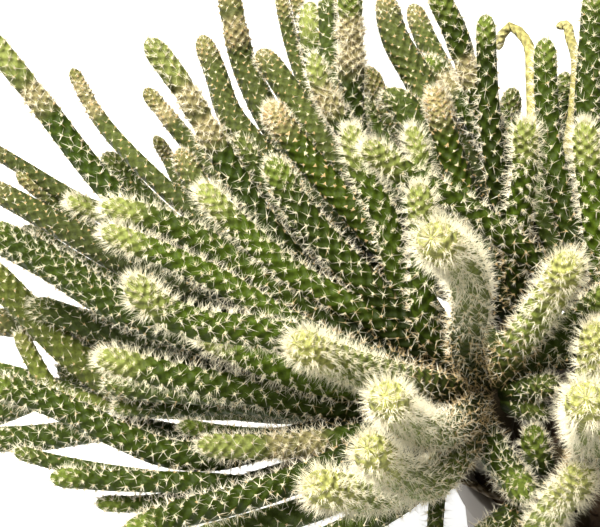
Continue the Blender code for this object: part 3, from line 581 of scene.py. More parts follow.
def body_tone(stem, distance, chance):
    """Linear colour from the tip: bright new growth, green deepening to the base as painted shade, tan joints."""
    bright, green, deep = TONES[stem.kind]
    reach = {"young": 13.0, "hairy": 16.0, "downy": 10.0}.get(stem.kind, 7.0) * MM
    if stem.joints:
        reach = min(reach * 1.2, min(stem.joints))
    new = (1.0 - eased(distance, 0.55 * reach, 1.15 * reach))[:, None]
    # Painted shade: towards the base the green darkens to the deep tone.
    low = eased(distance, 25 * MM, 80 * MM)[:, None]
    tone = green * (1.0 - low) + deep * low
    tone = tone * chance
    tone = bright * new + tone * (1.0 - new)
    band = 0.42 * band_share(stem, distance)[:, None]
    tone = tone * (1.0 - band) + BAND_TONE * band
    # Painted shade: the base darkens further where the stems crowd round the crown.
    return tone * (1.0 - BASE_SHADE * base_share(stem, distance))[:, None]


def half_rows(stem):
    """Distances from the tip of the rows of areoles, closer at the tip and at the joints."""
    rows = [0.7 * MM]
    while rows[-1] < stem.length - 7.0 * MM:
        here = np.array((rows[-1],))
        step = HALF_ROW * (0.58 + 0.42 * float(eased(here, 3 * MM, 13 * MM)[0]))
        step *= 1.0 - 0.42 * float(band_share(stem, here)[0])
        rows.append(rows[-1] + step)
    return np.array(rows)

# %% Rings of the fine tube
SKIN_SIDES = 14


def frames(path):
    """A side vector and a second side vector square to the path at each of its points."""
    ahead = np.gradient(path, axis=0)
    ahead /= np.linalg.norm(ahead, axis=1)[:, None]
    side = unit(np.cross(ahead[0], (0.31, 0.22, 0.92)))
    sides = []
    for direction in ahead:
        side = unit(side - (side @ direction) * direction)
        sides.append(side)
    sides = np.array(sides)
    return ahead, sides, np.cross(ahead, sides)


class Skin:
    """Rings, frame and radius of one stem, measured from the tip down."""

    def __init__(self, stem, chance):
        self.stem = stem
        distances = [0.01, 0.2, 0.7, 1.5, 2.6, 4.0]
        distances = [d * MM for d in distances]
        step = RING_STEP if stem.held else 1.3 * RING_STEP
        while distances[-1] < stem.length - 0.6 * step:
            distances.append(distances[-1] + step)
        for joint in stem.joints:
            distances += [joint - 1.3 * MM, joint, joint + 1.3 * MM]
        distances.append(stem.length)
        self.distance = np.array(sorted(d for d in distances if d <= stem.length))
        self.path = stem.at(1.0 - self.distance / stem.length)
        self.ahead, self.one, self.two = frames(self.path)
        self.ahead = -self.ahead
        self.radius = body_radius(stem, self.distance)
        self.tone = body_tone(stem, self.distance, chance)
        self.rows = half_rows(stem)
        self.columns = 2 * max(3, round(stem.radius * math.pi / COLUMN_GAP))

    def place(self, distance, angle):
        """Point on the skin, outward direction and tipward direction."""
        def mix(values):
            return np.array([np.interp(distance, self.distance, column) for column in values.T]).T
        centre = mix(self.path)
        one = mix(self.one)
        two = mix(self.two)
        ahead = mix(self.ahead)
        radius = np.interp(distance, self.distance, self.radius)
        outward = np.cos(angle)[:, None] * one + np.sin(angle)[:, None] * two
        outward /= np.linalg.norm(outward, axis=1)[:, None]
        slope = np.gradient(self.radius, self.distance)
        lean = np.interp(distance, self.distance, slope)
        tilt = outward + np.clip(lean, 0.0, 4.0)[:, None] * ahead
        tilt /= np.linalg.norm(tilt, axis=1)[:, None]
        return centre + outward * radius[:, None], tilt, ahead


def skin_mesh(skin):
    """Vertices, quads, colours and lattice coordinates of one stem."""
    sides = SKIN_SIDES if skin.stem.held else SKIN_SIDES - 2
    angles = np.linspace(0.0, 2.0 * math.pi, sides, endpoint=False)
    ring = np.cos(angles)[None, :, None] * skin.one[:, None, :] + np.sin(angles)[None, :, None] * skin.two[:, None, :]
    verts = skin.path[:, None, :] + ring * skin.radius[:, None, None]
    count = len(skin.distance)
    k, s = np.meshgrid(np.arange(count - 1), np.arange(sides), indexing="ij")
    t = (s + 1) % sides
    faces = np.stack((k * sides + s, k * sides + t, (k + 1) * sides + t, (k + 1) * sides + s), axis=-1)
    half = np.arange(sides // 2 - 1)
    lid = np.stack((half, sides - 1 - half, sides - 2 - half, half + 1), axis=-1)
    row = np.interp(skin.distance, skin.rows, np.arange(len(skin.rows)))
    across = skin.columns / 2.0 / sides
    u = np.stack((s, s + 1, s + 1, s), axis=-1) * across
    v = np.stack((row[k], row[k], row[k + 1], row[k + 1]), axis=-1)
    tones = np.repeat(skin.tone, sides, axis=0)
    faces = np.concatenate((faces.reshape(-1, 4), lid))
    uv = np.concatenate((np.stack((u, v), axis=-1).reshape(-1, 2), np.zeros((4 * len(lid), 2))))
    return verts.reshape(-1, 3), faces, tones, uv

# %% Trunk and crown of a cutting
# Brown of the woody trunks, darkened further as painted shade for the dark heart of the crown.
WOOD_AND_SHADE_TONE = linear("#2B2417")


def trunk_mesh(centre):
    """The woody trunk and the knobby crown where the stems join."""
    foot = trunk_foot(centre)
    bend = np.array((foot[0], foot[1], 72 * MM))
    path = [foot + (bend - foot) * f for f in (0.0, 0.6, 1.0)]
    path += [bend + (centre - bend) * f for f in (0.25, 0.5)]
    knob = np.array((0.0, 0.25, 0.5, 0.75, 0.93, 1.0))
    turn = np.arccos(1.0 - 2.0 * knob[1:])
    axis = unit(centre - bend)
    path += [centre - axis * CROWN_RADIUS * math.cos(a) for a in turn]
    radii = [TRUNK_RADIUS * 0.96] * 5 + [max(0.02 * MM, CROWN_RADIUS * math.sin(a)) for a in turn]
    path = np.array(path)
    _, one, two = frames(path)
    sides = 14
    angles = np.linspace(0.0, 2.0 * math.pi, sides, endpoint=False)
    ring = np.cos(angles)[None, :, None] * one[:, None, :] + np.sin(angles)[None, :, None] * two[:, None, :]
    knobbly = 1.0 + 0.05 * np.sin(5 * angles)[None, :, None] * np.sin(np.arange(len(path)) * 2.1)[:, None, None]
    knobbly = np.minimum(knobbly, 1.0)
    verts = path[:, None, :] + ring * np.array(radii)[:, None, None] * knobbly
    k, s = np.meshgrid(np.arange(len(path) - 1), np.arange(sides), indexing="ij")
    t = (s + 1) % sides
    faces = np.stack((k * sides + s, (k + 1) * sides + s, (k + 1) * sides + t, k * sides + t), axis=-1)[:, :, ::-1]
    tones = np.tile(WOOD_AND_SHADE_TONE, (len(path) * sides, 1))
    uv = np.zeros((faces.shape[0] * faces.shape[1] * 4, 2))
    return verts.reshape(-1, 3), faces.reshape(-1, 4), tones, uv

# %% Join the skins of each cutting
draw = np.random.default_rng(23)
skins = [Skin(stem, draw.uniform(0.78, 1.25)) for stem in stems]


def gather(parts):
    """One set of arrays from many, with the face indices shifted."""
    shift = np.cumsum([0] + [len(p[0]) for p in parts[:-1]])
    return (np.concatenate([p[0] for p in parts]),
            np.concatenate([p[1] + n for p, n in zip(parts, shift)]),
            np.concatenate([p[2] for p in parts]),
            np.concatenate([p[3] for p in parts]))


bodies = {}
triangles = 0
for crown, centre in CROWNS.items():
    parts = [skin_mesh(skin) for skin in skins if skin.stem.crown == crown] + [trunk_mesh(centre)]
    verts, faces, tones, uv = gather(parts)
    piece = make_mesh("stems_" + crown, verts, faces)
    # The growth colours hold each stem's tones and the painted shade over its base.
    colour = piece.data.attributes.new("growth", "FLOAT_COLOR", "POINT")
    colour.data.foreach_set("color", np.column_stack((tones, np.ones(len(tones)))).astype(np.float32).ravel())
    lattice = piece.data.uv_layers.new(name="lattice")
    lattice.data.foreach_set("uv", uv.astype(np.float32).ravel())
    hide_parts("cutting_" + crown)
    bodies[crown] = piece
    triangles += 2 * len(faces)
print("stem skins:", triangles, "triangles")

# %% [markdown]
# ## Wool and spines
#
# Every areole is a small cushion of tan wool with a star of pale spines. Particle hair would be quick to
# place; instead each cushion is a three-sided mound and each spine a three-sided spike whose root is sunk in
# the skin. They sit on a diamond lattice: each row is turned half a step from the row before it.

# %% Areoles of one stem
def areoles(skin):
    """Distances and angles of the areoles of a stem."""
    per_row = skin.columns // 2
    rows = skin.rows
    index = np.repeat(np.arange(len(rows)), per_row)
    column = np.tile(np.arange(per_row), len(rows))
    angle = (column + 0.5 * (index % 2)) * 2.0 * math.pi / per_row
    return rows[index], angle


cushions = {crown: [] for crown in CROWNS}
spikes = {crown: [] for crown in CROWNS}


def cushion_arrays(base, out, along, width, height):
    """Three-sided mounds: vertices and faces."""
    turn = draw.uniform(0.0, 2.0 * math.pi, len(base))[:, None]
    side = np.cross(out, along)
    side /= np.linalg.norm(side, axis=1)[:, None]
    forward = np.cross(side, out)
    side, forward = side * np.cos(turn) + forward * np.sin(turn), forward * np.cos(turn) - side * np.sin(turn)
    root = base - out * 0.12 * MM
    w = width[:, None]
    verts = np.stack((root + forward * w * 1.2, root - forward * w * 0.7 - side * w,
                      root - forward * w * 0.7 + side * w, base + out * height[:, None]), axis=1)
    first = (np.arange(len(base)) * 4)[:, None, None]
    faces = np.array(((0, 1, 3), (1, 2, 3), (2, 0, 3)))[None] + first
    return verts.reshape(-1, 3), faces.reshape(-1, 3)


def spike_arrays(root, direction, length, radius):
    """Three-sided spikes: vertices and faces."""
    side = np.cross(direction, (0.43, 0.58, 0.69))
    side /= np.linalg.norm(side, axis=1)[:, None]
    other = np.cross(direction, side)
    foot = root - direction * 0.25 * MM
    verts = [foot + radius[:, None] * (math.cos(a) * side + math.sin(a) * other)
             for a in (0.0, 2.0944, 4.1888)]
    verts.append(root + direction * length[:, None])
    verts = np.stack(verts, axis=1)
    first = (np.arange(len(root)) * 4)[:, None, None]
    faces = np.array(((0, 1, 3), (1, 2, 3), (2, 0, 3)))[None] + first
    return verts.reshape(-1, 3), faces.reshape(-1, 3)


SPINE_RADIUS = 0.08 * MM
FIELD = 14.0
STAR = {"hairy": 9.5, "downy": 9.5, "woolly": 2.5, "shaded": 3.0, "old": 4.0, "slender": 2.5}
HAIR_REACH = {"hairy": (20.0, 50.0, 1.0), "downy": (14.0, 50.0, 1.0), "young": (6.0, 50.0, 0.3),
              "grown": (6.0, 50.0, 0.4)}
depsgraph = bpy.context.evaluated_depsgraph_get()
trees = [BVHTree.FromObject(piece, depsgraph) for piece in bodies.values()]


def in_sight(base, out):
    """Which areoles the portrait shows: in the picture, not turned away and not behind a stem."""
    sight = VIEW_POINT - base
    reach = np.linalg.norm(sight, axis=1)
    facing = (out * sight).sum(axis=1) / reach
    x, y, _ = np.array([view_pixel(point) for point in base]).T
    inside = (x > -FIELD) & (x < 600 + FIELD) & (y > -FIELD) & (y < 527 + FIELD) & (facing > -0.35)
    shown = inside.copy()
    for number in np.nonzero(inside)[0]:
        start = Vector(base[number] + out[number] * 1.6 * MM)
        ray = Vector(VIEW_POINT) - start
        for tree in trees:
            if tree.ray_cast(start, ray.normalized(), ray.length)[0] is not None:
                shown[number] = False
                break
    return shown


def dress(skin):
    """Cushions and spines of one stem."""
    stem = skin.stem
    if stem.kind in ("dry", "bark"):
        return
    distance, angle = areoles(skin)
    count = len(distance)
    distance = np.clip(distance + draw.uniform(-0.42, 0.42, count) * MM, 0.3 * MM, stem.length)
    angle = angle + draw.uniform(-0.18, 0.18, count)
    base, out, along = skin.place(distance, angle)
    seen = in_sight(base, out)
    band = band_share(stem, distance)
    tip = 1.0 - eased(distance, 2 * MM, 11 * MM)
    low = base_share(stem, distance)
    near, far, strength = HAIR_REACH.get(stem.kind, (0.0, 1.0, 0.0))
    hair = strength * (1.0 - eased(distance, near * MM, far * MM)) * (1.0 - low)
    width = (0.36 + 0.08 * band - 0.06 * tip) * MM * draw.uniform(0.7, 1.3, count)
    if stem.kind == "woolly":
        width *= 1.3
    height = (0.30 + 0.15 * band) * MM * draw.uniform(0.6, 1.4, count)
    # Towards the base fewer cushions get the new, lighter wool: aged wool, partly painted shade over the base.
    chance = 0.75 + 0.5 * np.maximum(tip, hair) + 0.15 * band - low
    fresh = draw.uniform(0, 1, count) < np.clip(chance, 0.05, 1.0)
    if stem.kind in ("woolly", "slender"):
        fresh &= draw.uniform(0, 1, count) < 0.35
    cushions[stem.crown].append((cushion_arrays(base, out, along, width, height), fresh))
    most = np.where(seen, STAR.get(stem.kind, 8.0), 3.0)
    busy = 2.8 if stem.kind == "woolly" else 2.0
    most = most + np.where(seen, 3.5, 0.8) * np.maximum(np.maximum(tip, hair), busy * band)
    most -= np.where(seen, 4.0, 0.6) * low
    most = np.round(most + draw.uniform(-0.9, 0.9, count))
    side = np.cross(out, along)
    side /= np.linalg.norm(side, axis=1)[:, None]
    forward = np.cross(side, out)
    start = draw.uniform(0.0, 2.0 * math.pi, count)
    for k in range(int(most.max())):
        use = k < most
        n = int(use.sum())
        if not n:
            continue
        spin = start[use] + 2.4 * k + draw.uniform(-0.5, 0.5, n)
        lean = np.radians(draw.uniform(3, 40, n) if k % 3 == 0 else draw.uniform(44, 82, n))
        lean *= 1.0 - 0.25 * tip[use] - 0.40 * hair[use]
        flat = np.cos(spin)[:, None] * forward[use] + np.sin(spin)[:, None] * side[use]
        direction = np.cos(lean)[:, None] * out[use] + np.sin(lean)[:, None] * flat
        direction += forward[use] * (0.08 + 0.35 * tip[use])[:, None]
        direction /= np.linalg.norm(direction, axis=1)[:, None]
        length = draw.uniform(1.0, 2.6, n) * (1.0 + 0.15 * hair[use])
        if stem.kind in ("young", "grown"):
            length *= 1.0 - 0.35 * tip[use]
        if stem.kind in ("slender", "old", "woolly"):
            length *= 0.7
        radius = SPINE_RADIUS * draw.uniform(0.75, 1.2, n)
        radius[~seen[use]] *= 1.2
        # More spines take the tan finish towards the base: older spines, partly painted shade over the base.
        tan = draw.uniform(0, 1, n) < 0.10 + 0.12 * band[use] - 0.10 * hair[use] + 0.65 * low[use]
        pale = np.maximum(np.maximum(0.6 * tip[use], hair[use]), 0.6 * band[use])
        down = ~tan & (draw.uniform(0, 1, n) < pale)
        radius[down] *= 0.75
        astray = draw.uniform(-0.6, 0.6, (n, 2)) * down[:, None] * MM
        root = base[use] + forward[use] * astray[:, :1] + side[use] * astray[:, 1:]
        spikes[stem.crown].append((root, direction, length * MM, radius, np.where(down, 2, tan)))
    brush = 90 if stem.kind in ("hairy", "downy") else 24
    spin = draw.uniform(0, 2 * math.pi, brush)
    lean = draw.uniform(0.05, 1.2, brush)
    ahead = np.tile(skin.ahead[0], (brush, 1))
    ring = np.cos(spin)[:, None] * skin.one[0] + np.sin(spin)[:, None] * skin.two[0]
    direction = np.cos(lean)[:, None] * ahead + np.sin(lean)[:, None] * ring
    root = skin.path[0] - ahead * 0.25 * MM + ring * draw.uniform(0.1, 1.3, brush)[:, None] * MM
    spikes[stem.crown].append((root, direction, draw.uniform(1.2, 2.4, brush) * MM,
                               np.full(brush, 0.8 * SPINE_RADIUS), np.full(brush, 2)))


for skin in skins:
    dress(skin)

# %% Cushion, spine and down meshes for each cutting
wool_pieces = []
spine_pieces = []
down_pieces = []
triangles = 0
for crown in CROWNS:
    verts = []
    faces = []
    slots = []
    start = 0
    for (v, f), fresh in cushions[crown]:
        verts.append(v)
        faces.append(f + start)
        slots.append(np.repeat(fresh, 3))
        start += len(v)
    piece = make_mesh("wool_" + crown, np.concatenate(verts), np.concatenate(faces))
    piece_slots = np.concatenate(slots).astype(np.int32)
    wool_pieces.append((piece, piece_slots))
    triangles += len(piece_slots)
    *measures, finish = [np.concatenate([p[i] for p in spikes[crown]]) for i in range(5)]
    for name, wanted in (("spines_", finish < 2), ("down_", finish == 2)):
        verts, faces = spike_arrays(*[values[wanted] for values in measures])
        piece = make_mesh(name + crown, verts, faces, smooth=False)
        triangles += len(faces)
        if name == "down_":
            piece.visible_shadow = False
            down_pieces.append(piece)
        else:
            spine_pieces.append((piece, np.repeat(finish[wanted].astype(np.int32), 3)))
skin_triangles = 2 * sum(len(p.data.polygons) for p in bodies.values())
print("wool and spines:", triangles, "triangles, most in one piece",
      max(len(p.data.polygons) for p, _ in spine_pieces), "with the skins", triangles + skin_triangles)

# %% [markdown]
# ## Finishes for the plant
#
# The skin of a stem is a waxy cuticle over green flesh: smooth, softly glossy and a little uneven in tone.
# Its colour comes from the growth attribute painted ring by ring above, with painted shade over each stem's
# base. The material adds the fine mottling and lifts a low bump under each areole. The same relief also
# scales the colour: painted shade in the hollows between the areoles, painted light on the tubercle tops.
# Wool is matt fibre and spines are horny and slightly shiny.

# %% One function that adds a node
def add_node(tree, kind, settings=None, **links):
    """New node with its settings; each link names an input socket and gives a value or an output."""
    node = tree.nodes.new(kind)
    for key, value in (settings or {}).items():
        setattr(node, key, value)
    for key, value in links.items():
        socket = node.inputs[int(key[1:])] if key[0] == "_" else node.inputs[key.replace("_", " ")]
        if isinstance(value, bpy.types.NodeSocket):
            tree.links.new(value, socket)
        else:
            socket.default_value = value
    return node


def new_material(name, roughness, ior):
    material = bpy.data.materials.new(name)
    material.use_nodes = True
    tree = material.node_tree
    shader = tree.nodes["Principled BSDF"]
    shader.inputs["Roughness"].default_value = roughness
    shader.inputs["IOR"].default_value = ior
    return material, tree, shader


def rgba(hex_colour):
    return (*linear(hex_colour), 1.0)

# %% Cactus skin, waxy cuticle
SKIN_GRAIN_MM = 0.55
skin_material, tree, shader = new_material("cactus skin, waxy cuticle", 0.55, 1.42)
shader.inputs["Specular IOR Level"].default_value = 0.15
place = add_node(tree, "ShaderNodeTexCoord")
growth = add_node(tree, "ShaderNodeAttribute", {"attribute_name": "growth"})
fine = add_node(tree, "ShaderNodeTexNoise", Vector=place.outputs["Object"], Scale=1.0 / (SKIN_GRAIN_MM * MM),
                Detail=3.0, Roughness=0.6)
broad = add_node(tree, "ShaderNodeTexNoise", Vector=place.outputs["Object"], Scale=1.0 / (9.0 * MM), Detail=2.0)
cells = add_node(tree, "ShaderNodeUVMap", {"uv_map": "lattice"})
split = add_node(tree, "ShaderNodeSeparateXYZ", Vector=cells.outputs["UV"])
turn_u = add_node(tree, "ShaderNodeMath", {"operation": "MULTIPLY"}, _0=split.outputs["X"], _1=2.0 * math.pi)
turn_v = add_node(tree, "ShaderNodeMath", {"operation": "MULTIPLY"}, _0=split.outputs["Y"], _1=math.pi)
wave_u = add_node(tree, "ShaderNodeMath", {"operation": "COSINE"}, _0=turn_u.outputs[0])
wave_v = add_node(tree, "ShaderNodeMath", {"operation": "COSINE"}, _0=turn_v.outputs[0])
tubercle = add_node(tree, "ShaderNodeMath", {"operation": "MULTIPLY"}, _0=wave_u.outputs[0], _1=wave_v.outputs[0])
# Tubercle height also scales the colour: painted shade in the hollows, painted light on the tubercle tops.
lift = add_node(tree, "ShaderNodeMapRange", Value=tubercle.outputs[0], From_Min=-1.0, From_Max=1.0,
                To_Min=0.72, To_Max=1.18)
mottle = add_node(tree, "ShaderNodeMapRange", Value=broad.outputs["Fac"], From_Min=0.3, From_Max=0.7,
                  To_Min=0.82, To_Max=1.14)
speck = add_node(tree, "ShaderNodeMapRange", Value=fine.outputs["Fac"], From_Min=0.3, From_Max=0.7,
                 To_Min=0.66, To_Max=1.40)
shade = add_node(tree, "ShaderNodeMath", {"operation": "MULTIPLY"}, _0=mottle.outputs[0], _1=speck.outputs[0])
shade = add_node(tree, "ShaderNodeMath", {"operation": "MULTIPLY"}, _0=shade.outputs[0], _1=lift.outputs[0])
tinted = add_node(tree, "ShaderNodeVectorMath", {"operation": "SCALE"}, _0=growth.outputs["Color"],
                  Scale=shade.outputs[0])
tree.links.new(tinted.outputs[0], shader.inputs["Base Color"])
relief = add_node(tree, "ShaderNodeMath", {"operation": "MULTIPLY_ADD"}, _0=fine.outputs["Fac"], _1=0.30,
                  _2=tubercle.outputs[0])
bump = add_node(tree, "ShaderNodeBump", Strength=0.8, Distance=0.45 * MM, Height=relief.outputs[0])
tree.links.new(bump.outputs["Normal"], shader.inputs["Normal"])
for piece in bodies.values():
    piece.data.materials.append(skin_material)

# %% Areole wool and spines
def tufted(name, dark, light, roughness, ior, patch_mm):
    """A fibrous finish that drifts between two tones over a real distance."""
    material, tree, shader = new_material(name, roughness, ior)
    place = add_node(tree, "ShaderNodeTexCoord")
    drift = add_node(tree, "ShaderNodeTexNoise", Vector=place.outputs["Object"], Scale=1.0 / (patch_mm * MM),
                     Detail=1.0)
    tone = add_node(tree, "ShaderNodeMix", {"data_type": "RGBA"}, _0=drift.outputs["Fac"], _6=rgba(dark),
                    _7=rgba(light))
    tree.links.new(tone.outputs[2], shader.inputs["Base Color"])
    return material


tan_wool = tufted("areole wool, aged fibre", "#967848", "#CDB282", 0.95, 1.5, 2.5)
new_wool = tufted("areole wool, new fibre", "#C8B88C", "#EBE0BE", 0.95, 1.5, 2.5)
pale_spine = tufted("spine, horny and pale", "#E2D8BC", "#F9F3E2", 0.5, 1.54, 4.0)
tan_spine = tufted("spine, horny and tan", "#967E54", "#C6AE80", 0.5, 1.54, 4.0)
white_down = tufted("down, fine and white", "#D4CCAE", "#EFE9D2", 0.7, 1.54, 4.0)
for piece in down_pieces:
    piece.data.materials.append(white_down)
for piece, slots in wool_pieces:
    piece.data.materials.append(tan_wool)
    piece.data.materials.append(new_wool)
    piece.data.polygons.foreach_set("material_index", slots)
for piece, slots in spine_pieces:
    piece.data.materials.append(pale_spine)
    piece.data.materials.append(tan_spine)
    piece.data.polygons.foreach_set("material_index", slots)

# %% [markdown]
# ## The pot
#
# A nursery pot is injection moulded in polypropylene: a thin tapered wall, a rolled rim and a flat foot with
# drain holes. It is a solid of revolution, so a profile is turned round the axis. The CAD pot has thirty-two
# sides; this one has enough that the rim reads as round.

# %% Turn the pot's profile
POT_SIDES = 96
POT_FOOT_RADIUS = 30.0 * MM
POT_WALL = 1.6 * MM
FLOOR = 1.8 * MM
RIM_DEPTH = 7.0 * MM
RIM_LIP = 1.4 * MM


def wall_radius(height):
    return POT_FOOT_RADIUS + (POT_TOP_RADIUS - RIM_LIP - POT_FOOT_RADIUS) * height / POT_HEIGHT


def pot_profile():
    under = POT_HEIGHT - RIM_DEPTH
    inner = POT_TOP_RADIUS - RIM_LIP - POT_WALL
    points = [(9.0 * MM, 0.0), (POT_FOOT_RADIUS - 1.6 * MM, 0.0), (POT_FOOT_RADIUS - 0.5 * MM, 0.3 * MM),
              (POT_FOOT_RADIUS, 1.2 * MM)]
    points += [(wall_radius(under * f), under * f) for f in (0.25, 0.5, 0.75, 0.985)]
    points += [(POT_TOP_RADIUS - 0.9 * MM, under), (POT_TOP_RADIUS - 0.25 * MM, under + 0.25 * MM),
               (POT_TOP_RADIUS, under + 0.9 * MM), (POT_TOP_RADIUS, POT_HEIGHT - 1.2 * MM)]
    middle = (POT_TOP_RADIUS + inner) * 0.5
    half = (POT_TOP_RADIUS - inner) * 0.5
    points += [(middle + half * math.cos(a), POT_HEIGHT - 1.2 * MM + 1.2 * MM * math.sin(a))
               for a in (math.pi * k / 8 for k in range(1, 8))]
    points += [(inner, POT_HEIGHT - 1.2 * MM), (POT_FOOT_RADIUS - POT_WALL, 2.8 * MM),
               (POT_FOOT_RADIUS - POT_WALL - 1.0 * MM, FLOOR), (9.0 * MM, FLOOR)]
    return points


profile = np.array(pot_profile())
angles = np.linspace(0.0, 2.0 * math.pi, POT_SIDES, endpoint=False)
verts = np.stack((profile[:, 0][:, None] * np.cos(angles), profile[:, 0][:, None] * np.sin(angles),
                  np.repeat(profile[:, 1][:, None], POT_SIDES, axis=1)), axis=-1).reshape(-1, 3)
k, s = np.meshgrid(np.arange(len(profile)), np.arange(POT_SIDES), indexing="ij")
after = (k + 1) % len(profile)
t = (s + 1) % POT_SIDES
faces = np.stack((k * POT_SIDES + s, k * POT_SIDES + t, after * POT_SIDES + t, after * POT_SIDES + s),
                 axis=-1).reshape(-1, 4)
pot = make_mesh("pot_moulded", verts, faces)
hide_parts("pot")
print("pot:", len(faces), "quads")

# %% Polypropylene, moulded
pot_material, tree, shader = new_material("polypropylene, moulded", 0.5, 1.49)
place = add_node(tree, "ShaderNodeTexCoord")
orange_peel = add_node(tree, "ShaderNodeTexNoise", Vector=place.outputs["Object"], Scale=1.0 / (0.9 * MM),
                       Detail=2.0)
dust = add_node(tree, "ShaderNodeTexNoise", Vector=place.outputs["Object"], Scale=1.0 / (14.0 * MM), Detail=4.0)
tone = add_node(tree, "ShaderNodeMix", {"data_type": "RGBA"}, _0=dust.outputs["Fac"], _6=rgba("#655D56"),
                _7=rgba("#776F67"))
tree.links.new(tone.outputs[2], shader.inputs["Base Color"])
matte = add_node(tree, "ShaderNodeMapRange", Value=dust.outputs["Fac"], To_Min=0.42, To_Max=0.62)
tree.links.new(matte.outputs[0], shader.inputs["Roughness"])
bump = add_node(tree, "ShaderNodeBump", Strength=0.15, Distance=0.05 * MM, Height=orange_peel.outputs["Fac"])
tree.links.new(bump.outputs["Normal"], shader.inputs["Normal"])
pot.data.materials.append(pot_material)

# %% [markdown]
# ## The soil
#
# Potting mix is moist peat with crumbs of bark and a few white grains of perlite. A displaced disc gives the
# surface, and a scatter of small lumps breaks its outline. It lies deep in shade, so both stay light on faces.

# %% Peat surface
SOIL_TOP = 67.0 * MM
soil_radius = wall_radius(SOIL_TOP) - POT_WALL - 0.6 * MM
rings = np.linspace(0.0, 1.0, 26)[1:]
sides = 72
angles = np.linspace(0.0, 2.0 * math.pi, sides, endpoint=False)
verts = [(0.0, 0.0, SOIL_TOP + 1.6 * MM)]
for share in rings:
    for a in angles:
        x, y = soil_radius * share * math.cos(a), soil_radius * share * math.sin(a)
        lump = 0.7 * math.sin(410 * x + 2.0) * math.sin(380 * y) + 0.5 * math.sin(930 * x + 700 * y)
        edge = -2.0 * max(0.0, share - 0.86) / 0.14
        verts.append((x, y, SOIL_TOP + (1.4 * (1 - share ** 2) + 0.5 * lump + edge + draw.uniform(-0.25, 0.25)) * MM))
base_ring = len(verts)
for a in angles:
    verts.append((soil_radius * 0.97 * math.cos(a), soil_radius * 0.97 * math.sin(a), SOIL_TOP - 8 * MM))
faces = []
for s in range(sides):
    t = (s + 1) % sides
    faces.append((0, 1 + s, 1 + t))
    for k in range(len(rings)):
        low = 1 + k * sides
        high = low + sides
        faces.append((low + s, high + s, high + t))
        faces.append((low + s, high + t, low + t))
soil = make_mesh("soil_surface", verts, faces)
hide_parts("soil")

# %% Crumbs and perlite
crumbs = []
for k in range(420):
    reach = soil_radius * 0.95 * math.sqrt(draw.uniform())
    a = draw.uniform(0, 2 * math.pi)
    size = draw.uniform(0.5, 1.5) * MM
    centre = np.array((reach * math.cos(a), reach * math.sin(a),
                       SOIL_TOP + (1.4 * (1 - (reach / soil_radius) ** 2) + 0.5) * MM))
    ball = bmesh.new()
    bmesh.ops.create_icosphere(ball, subdivisions=1, radius=1.0)
    v = np.array([vert.co[:] for vert in ball.verts])
    f = np.array([[vert.index for vert in face.verts] for face in ball.faces])
    ball.free()
    stretch = draw.uniform(0.6, 1.3, 3)
    v = v * (1.0 + draw.uniform(-0.25, 0.25, (len(v), 1))) * stretch * size + centre
    crumbs.append((v, f, k % 9 == 0))
shift = np.cumsum([0] + [len(c[0]) for c in crumbs[:-1]])
crumb_piece = make_mesh("soil_crumbs", np.concatenate([c[0] for c in crumbs]),
                        np.concatenate([c[1] + n for c, n in zip(crumbs, shift)]), smooth=False)
peat, tree, shader = new_material("peat, moist and crumbled", 0.92, 1.4)
place = add_node(tree, "ShaderNodeTexCoord")
grain = add_node(tree, "ShaderNodeTexNoise", Vector=place.outputs["Object"], Scale=1.0 / (1.6 * MM), Detail=5.0,
                 Roughness=0.7)
tone = add_node(tree, "ShaderNodeMix", {"data_type": "RGBA"}, _0=grain.outputs["Fac"], _6=rgba("#1E150E"),
                _7=rgba("#54402C"))
tree.links.new(tone.outputs[2], shader.inputs["Base Color"])
bump = add_node(tree, "ShaderNodeBump", Strength=0.8, Distance=0.5 * MM, Height=grain.outputs["Fac"])
tree.links.new(bump.outputs["Normal"], shader.inputs["Normal"])
perlite = tufted("perlite, expanded glass", "#CFCBC2", "#EFECE4", 0.9, 1.5, 1.0)
soil.data.materials.append(peat)
crumb_piece.data.materials.append(peat)
crumb_piece.data.materials.append(perlite)
crumb_piece.data.polygons.foreach_set("material_index", np.concatenate(
    [np.full(len(c[1]), int(c[2]), dtype=np.int32) for c in crumbs]))

# %% [markdown]
# ## Floor, light and camera
#
# The photograph is a high-key studio picture: a white sweep that clips to pure white and soft light from all
# round, a little stronger from the upper left. A bright world gives the wrap and one large area lamp gives
# the direction.

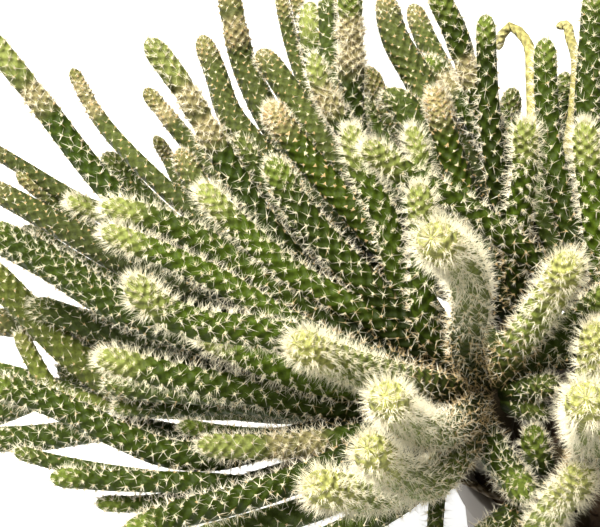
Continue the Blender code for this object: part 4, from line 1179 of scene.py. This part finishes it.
# %% Floor and light
bpy.ops.mesh.primitive_plane_add(size=8.0, location=(0, 0, -0.0002))
floor = bpy.context.active_object
floor.name = "studio_floor"
floor_material, tree, shader = new_material("studio floor, matt white", 0.9, 1.45)
shader.inputs["Base Color"].default_value = rgba("#F6F6F4")
shader.inputs["Emission Color"].default_value = rgba("#FFFFFF")
shader.inputs["Emission Strength"].default_value = 0.75
floor.data.materials.append(floor_material)
floor.visible_diffuse = False

scene = bpy.context.scene
world = bpy.data.worlds.new("studio")
scene.world = world
world.use_nodes = True
world.node_tree.nodes["Background"].inputs["Color"].default_value = (1.0, 0.98, 0.94, 1.0)
world.node_tree.nodes["Background"].inputs["Strength"].default_value = 0.34

key_data = bpy.data.lights.new("key", "AREA")
key_data.shape = "DISK"
key_data.size = 0.8
key_data.energy = 43.0
key_data.color = (1.0, 0.97, 0.89)
key = bpy.data.objects.new("key", key_data)
scene.collection.objects.link(key)
aim = np.array((-0.02, 0.0, 0.10))
spot = np.array((-0.45, -0.30, 1.25))
key.location = spot


def look_rotation(place, target):
    """Rotation that points an object's -Z axis from one place at another."""
    return (Vector(target) - Vector(place)).to_track_quat("-Z", "Y").to_euler()


key.rotation_euler = look_rotation(spot, aim)
fill_data = bpy.data.lights.new("front_fill", "AREA")
fill_data.shape = "DISK"
fill_data.size = 1.0
fill_data.energy = 6.0
fill_data.color = (1.0, 0.98, 0.93)
fill = bpy.data.objects.new("front_fill", fill_data)
scene.collection.objects.link(fill)
front = np.array((-0.10, -1.15, 0.70))
fill.location = front
fill.rotation_euler = look_rotation(front, aim)

# %% Camera and colour
camera_data = bpy.data.cameras.new("camera")
camera_data.sensor_width = 36.0
camera_data.lens = LENS_PIXELS / 600.0 * 36.0
camera_data.clip_start = 0.01
camera_data.clip_end = 20.0
camera = bpy.data.objects.new("camera", camera_data)
camera.location = VIEW_POINT
camera.rotation_euler = (math.radians(90.0) - VIEW_ELEVATION, 0.0, 0.0)
scene.collection.objects.link(camera)
scene.camera = camera
scene.view_settings.view_transform = "Standard"
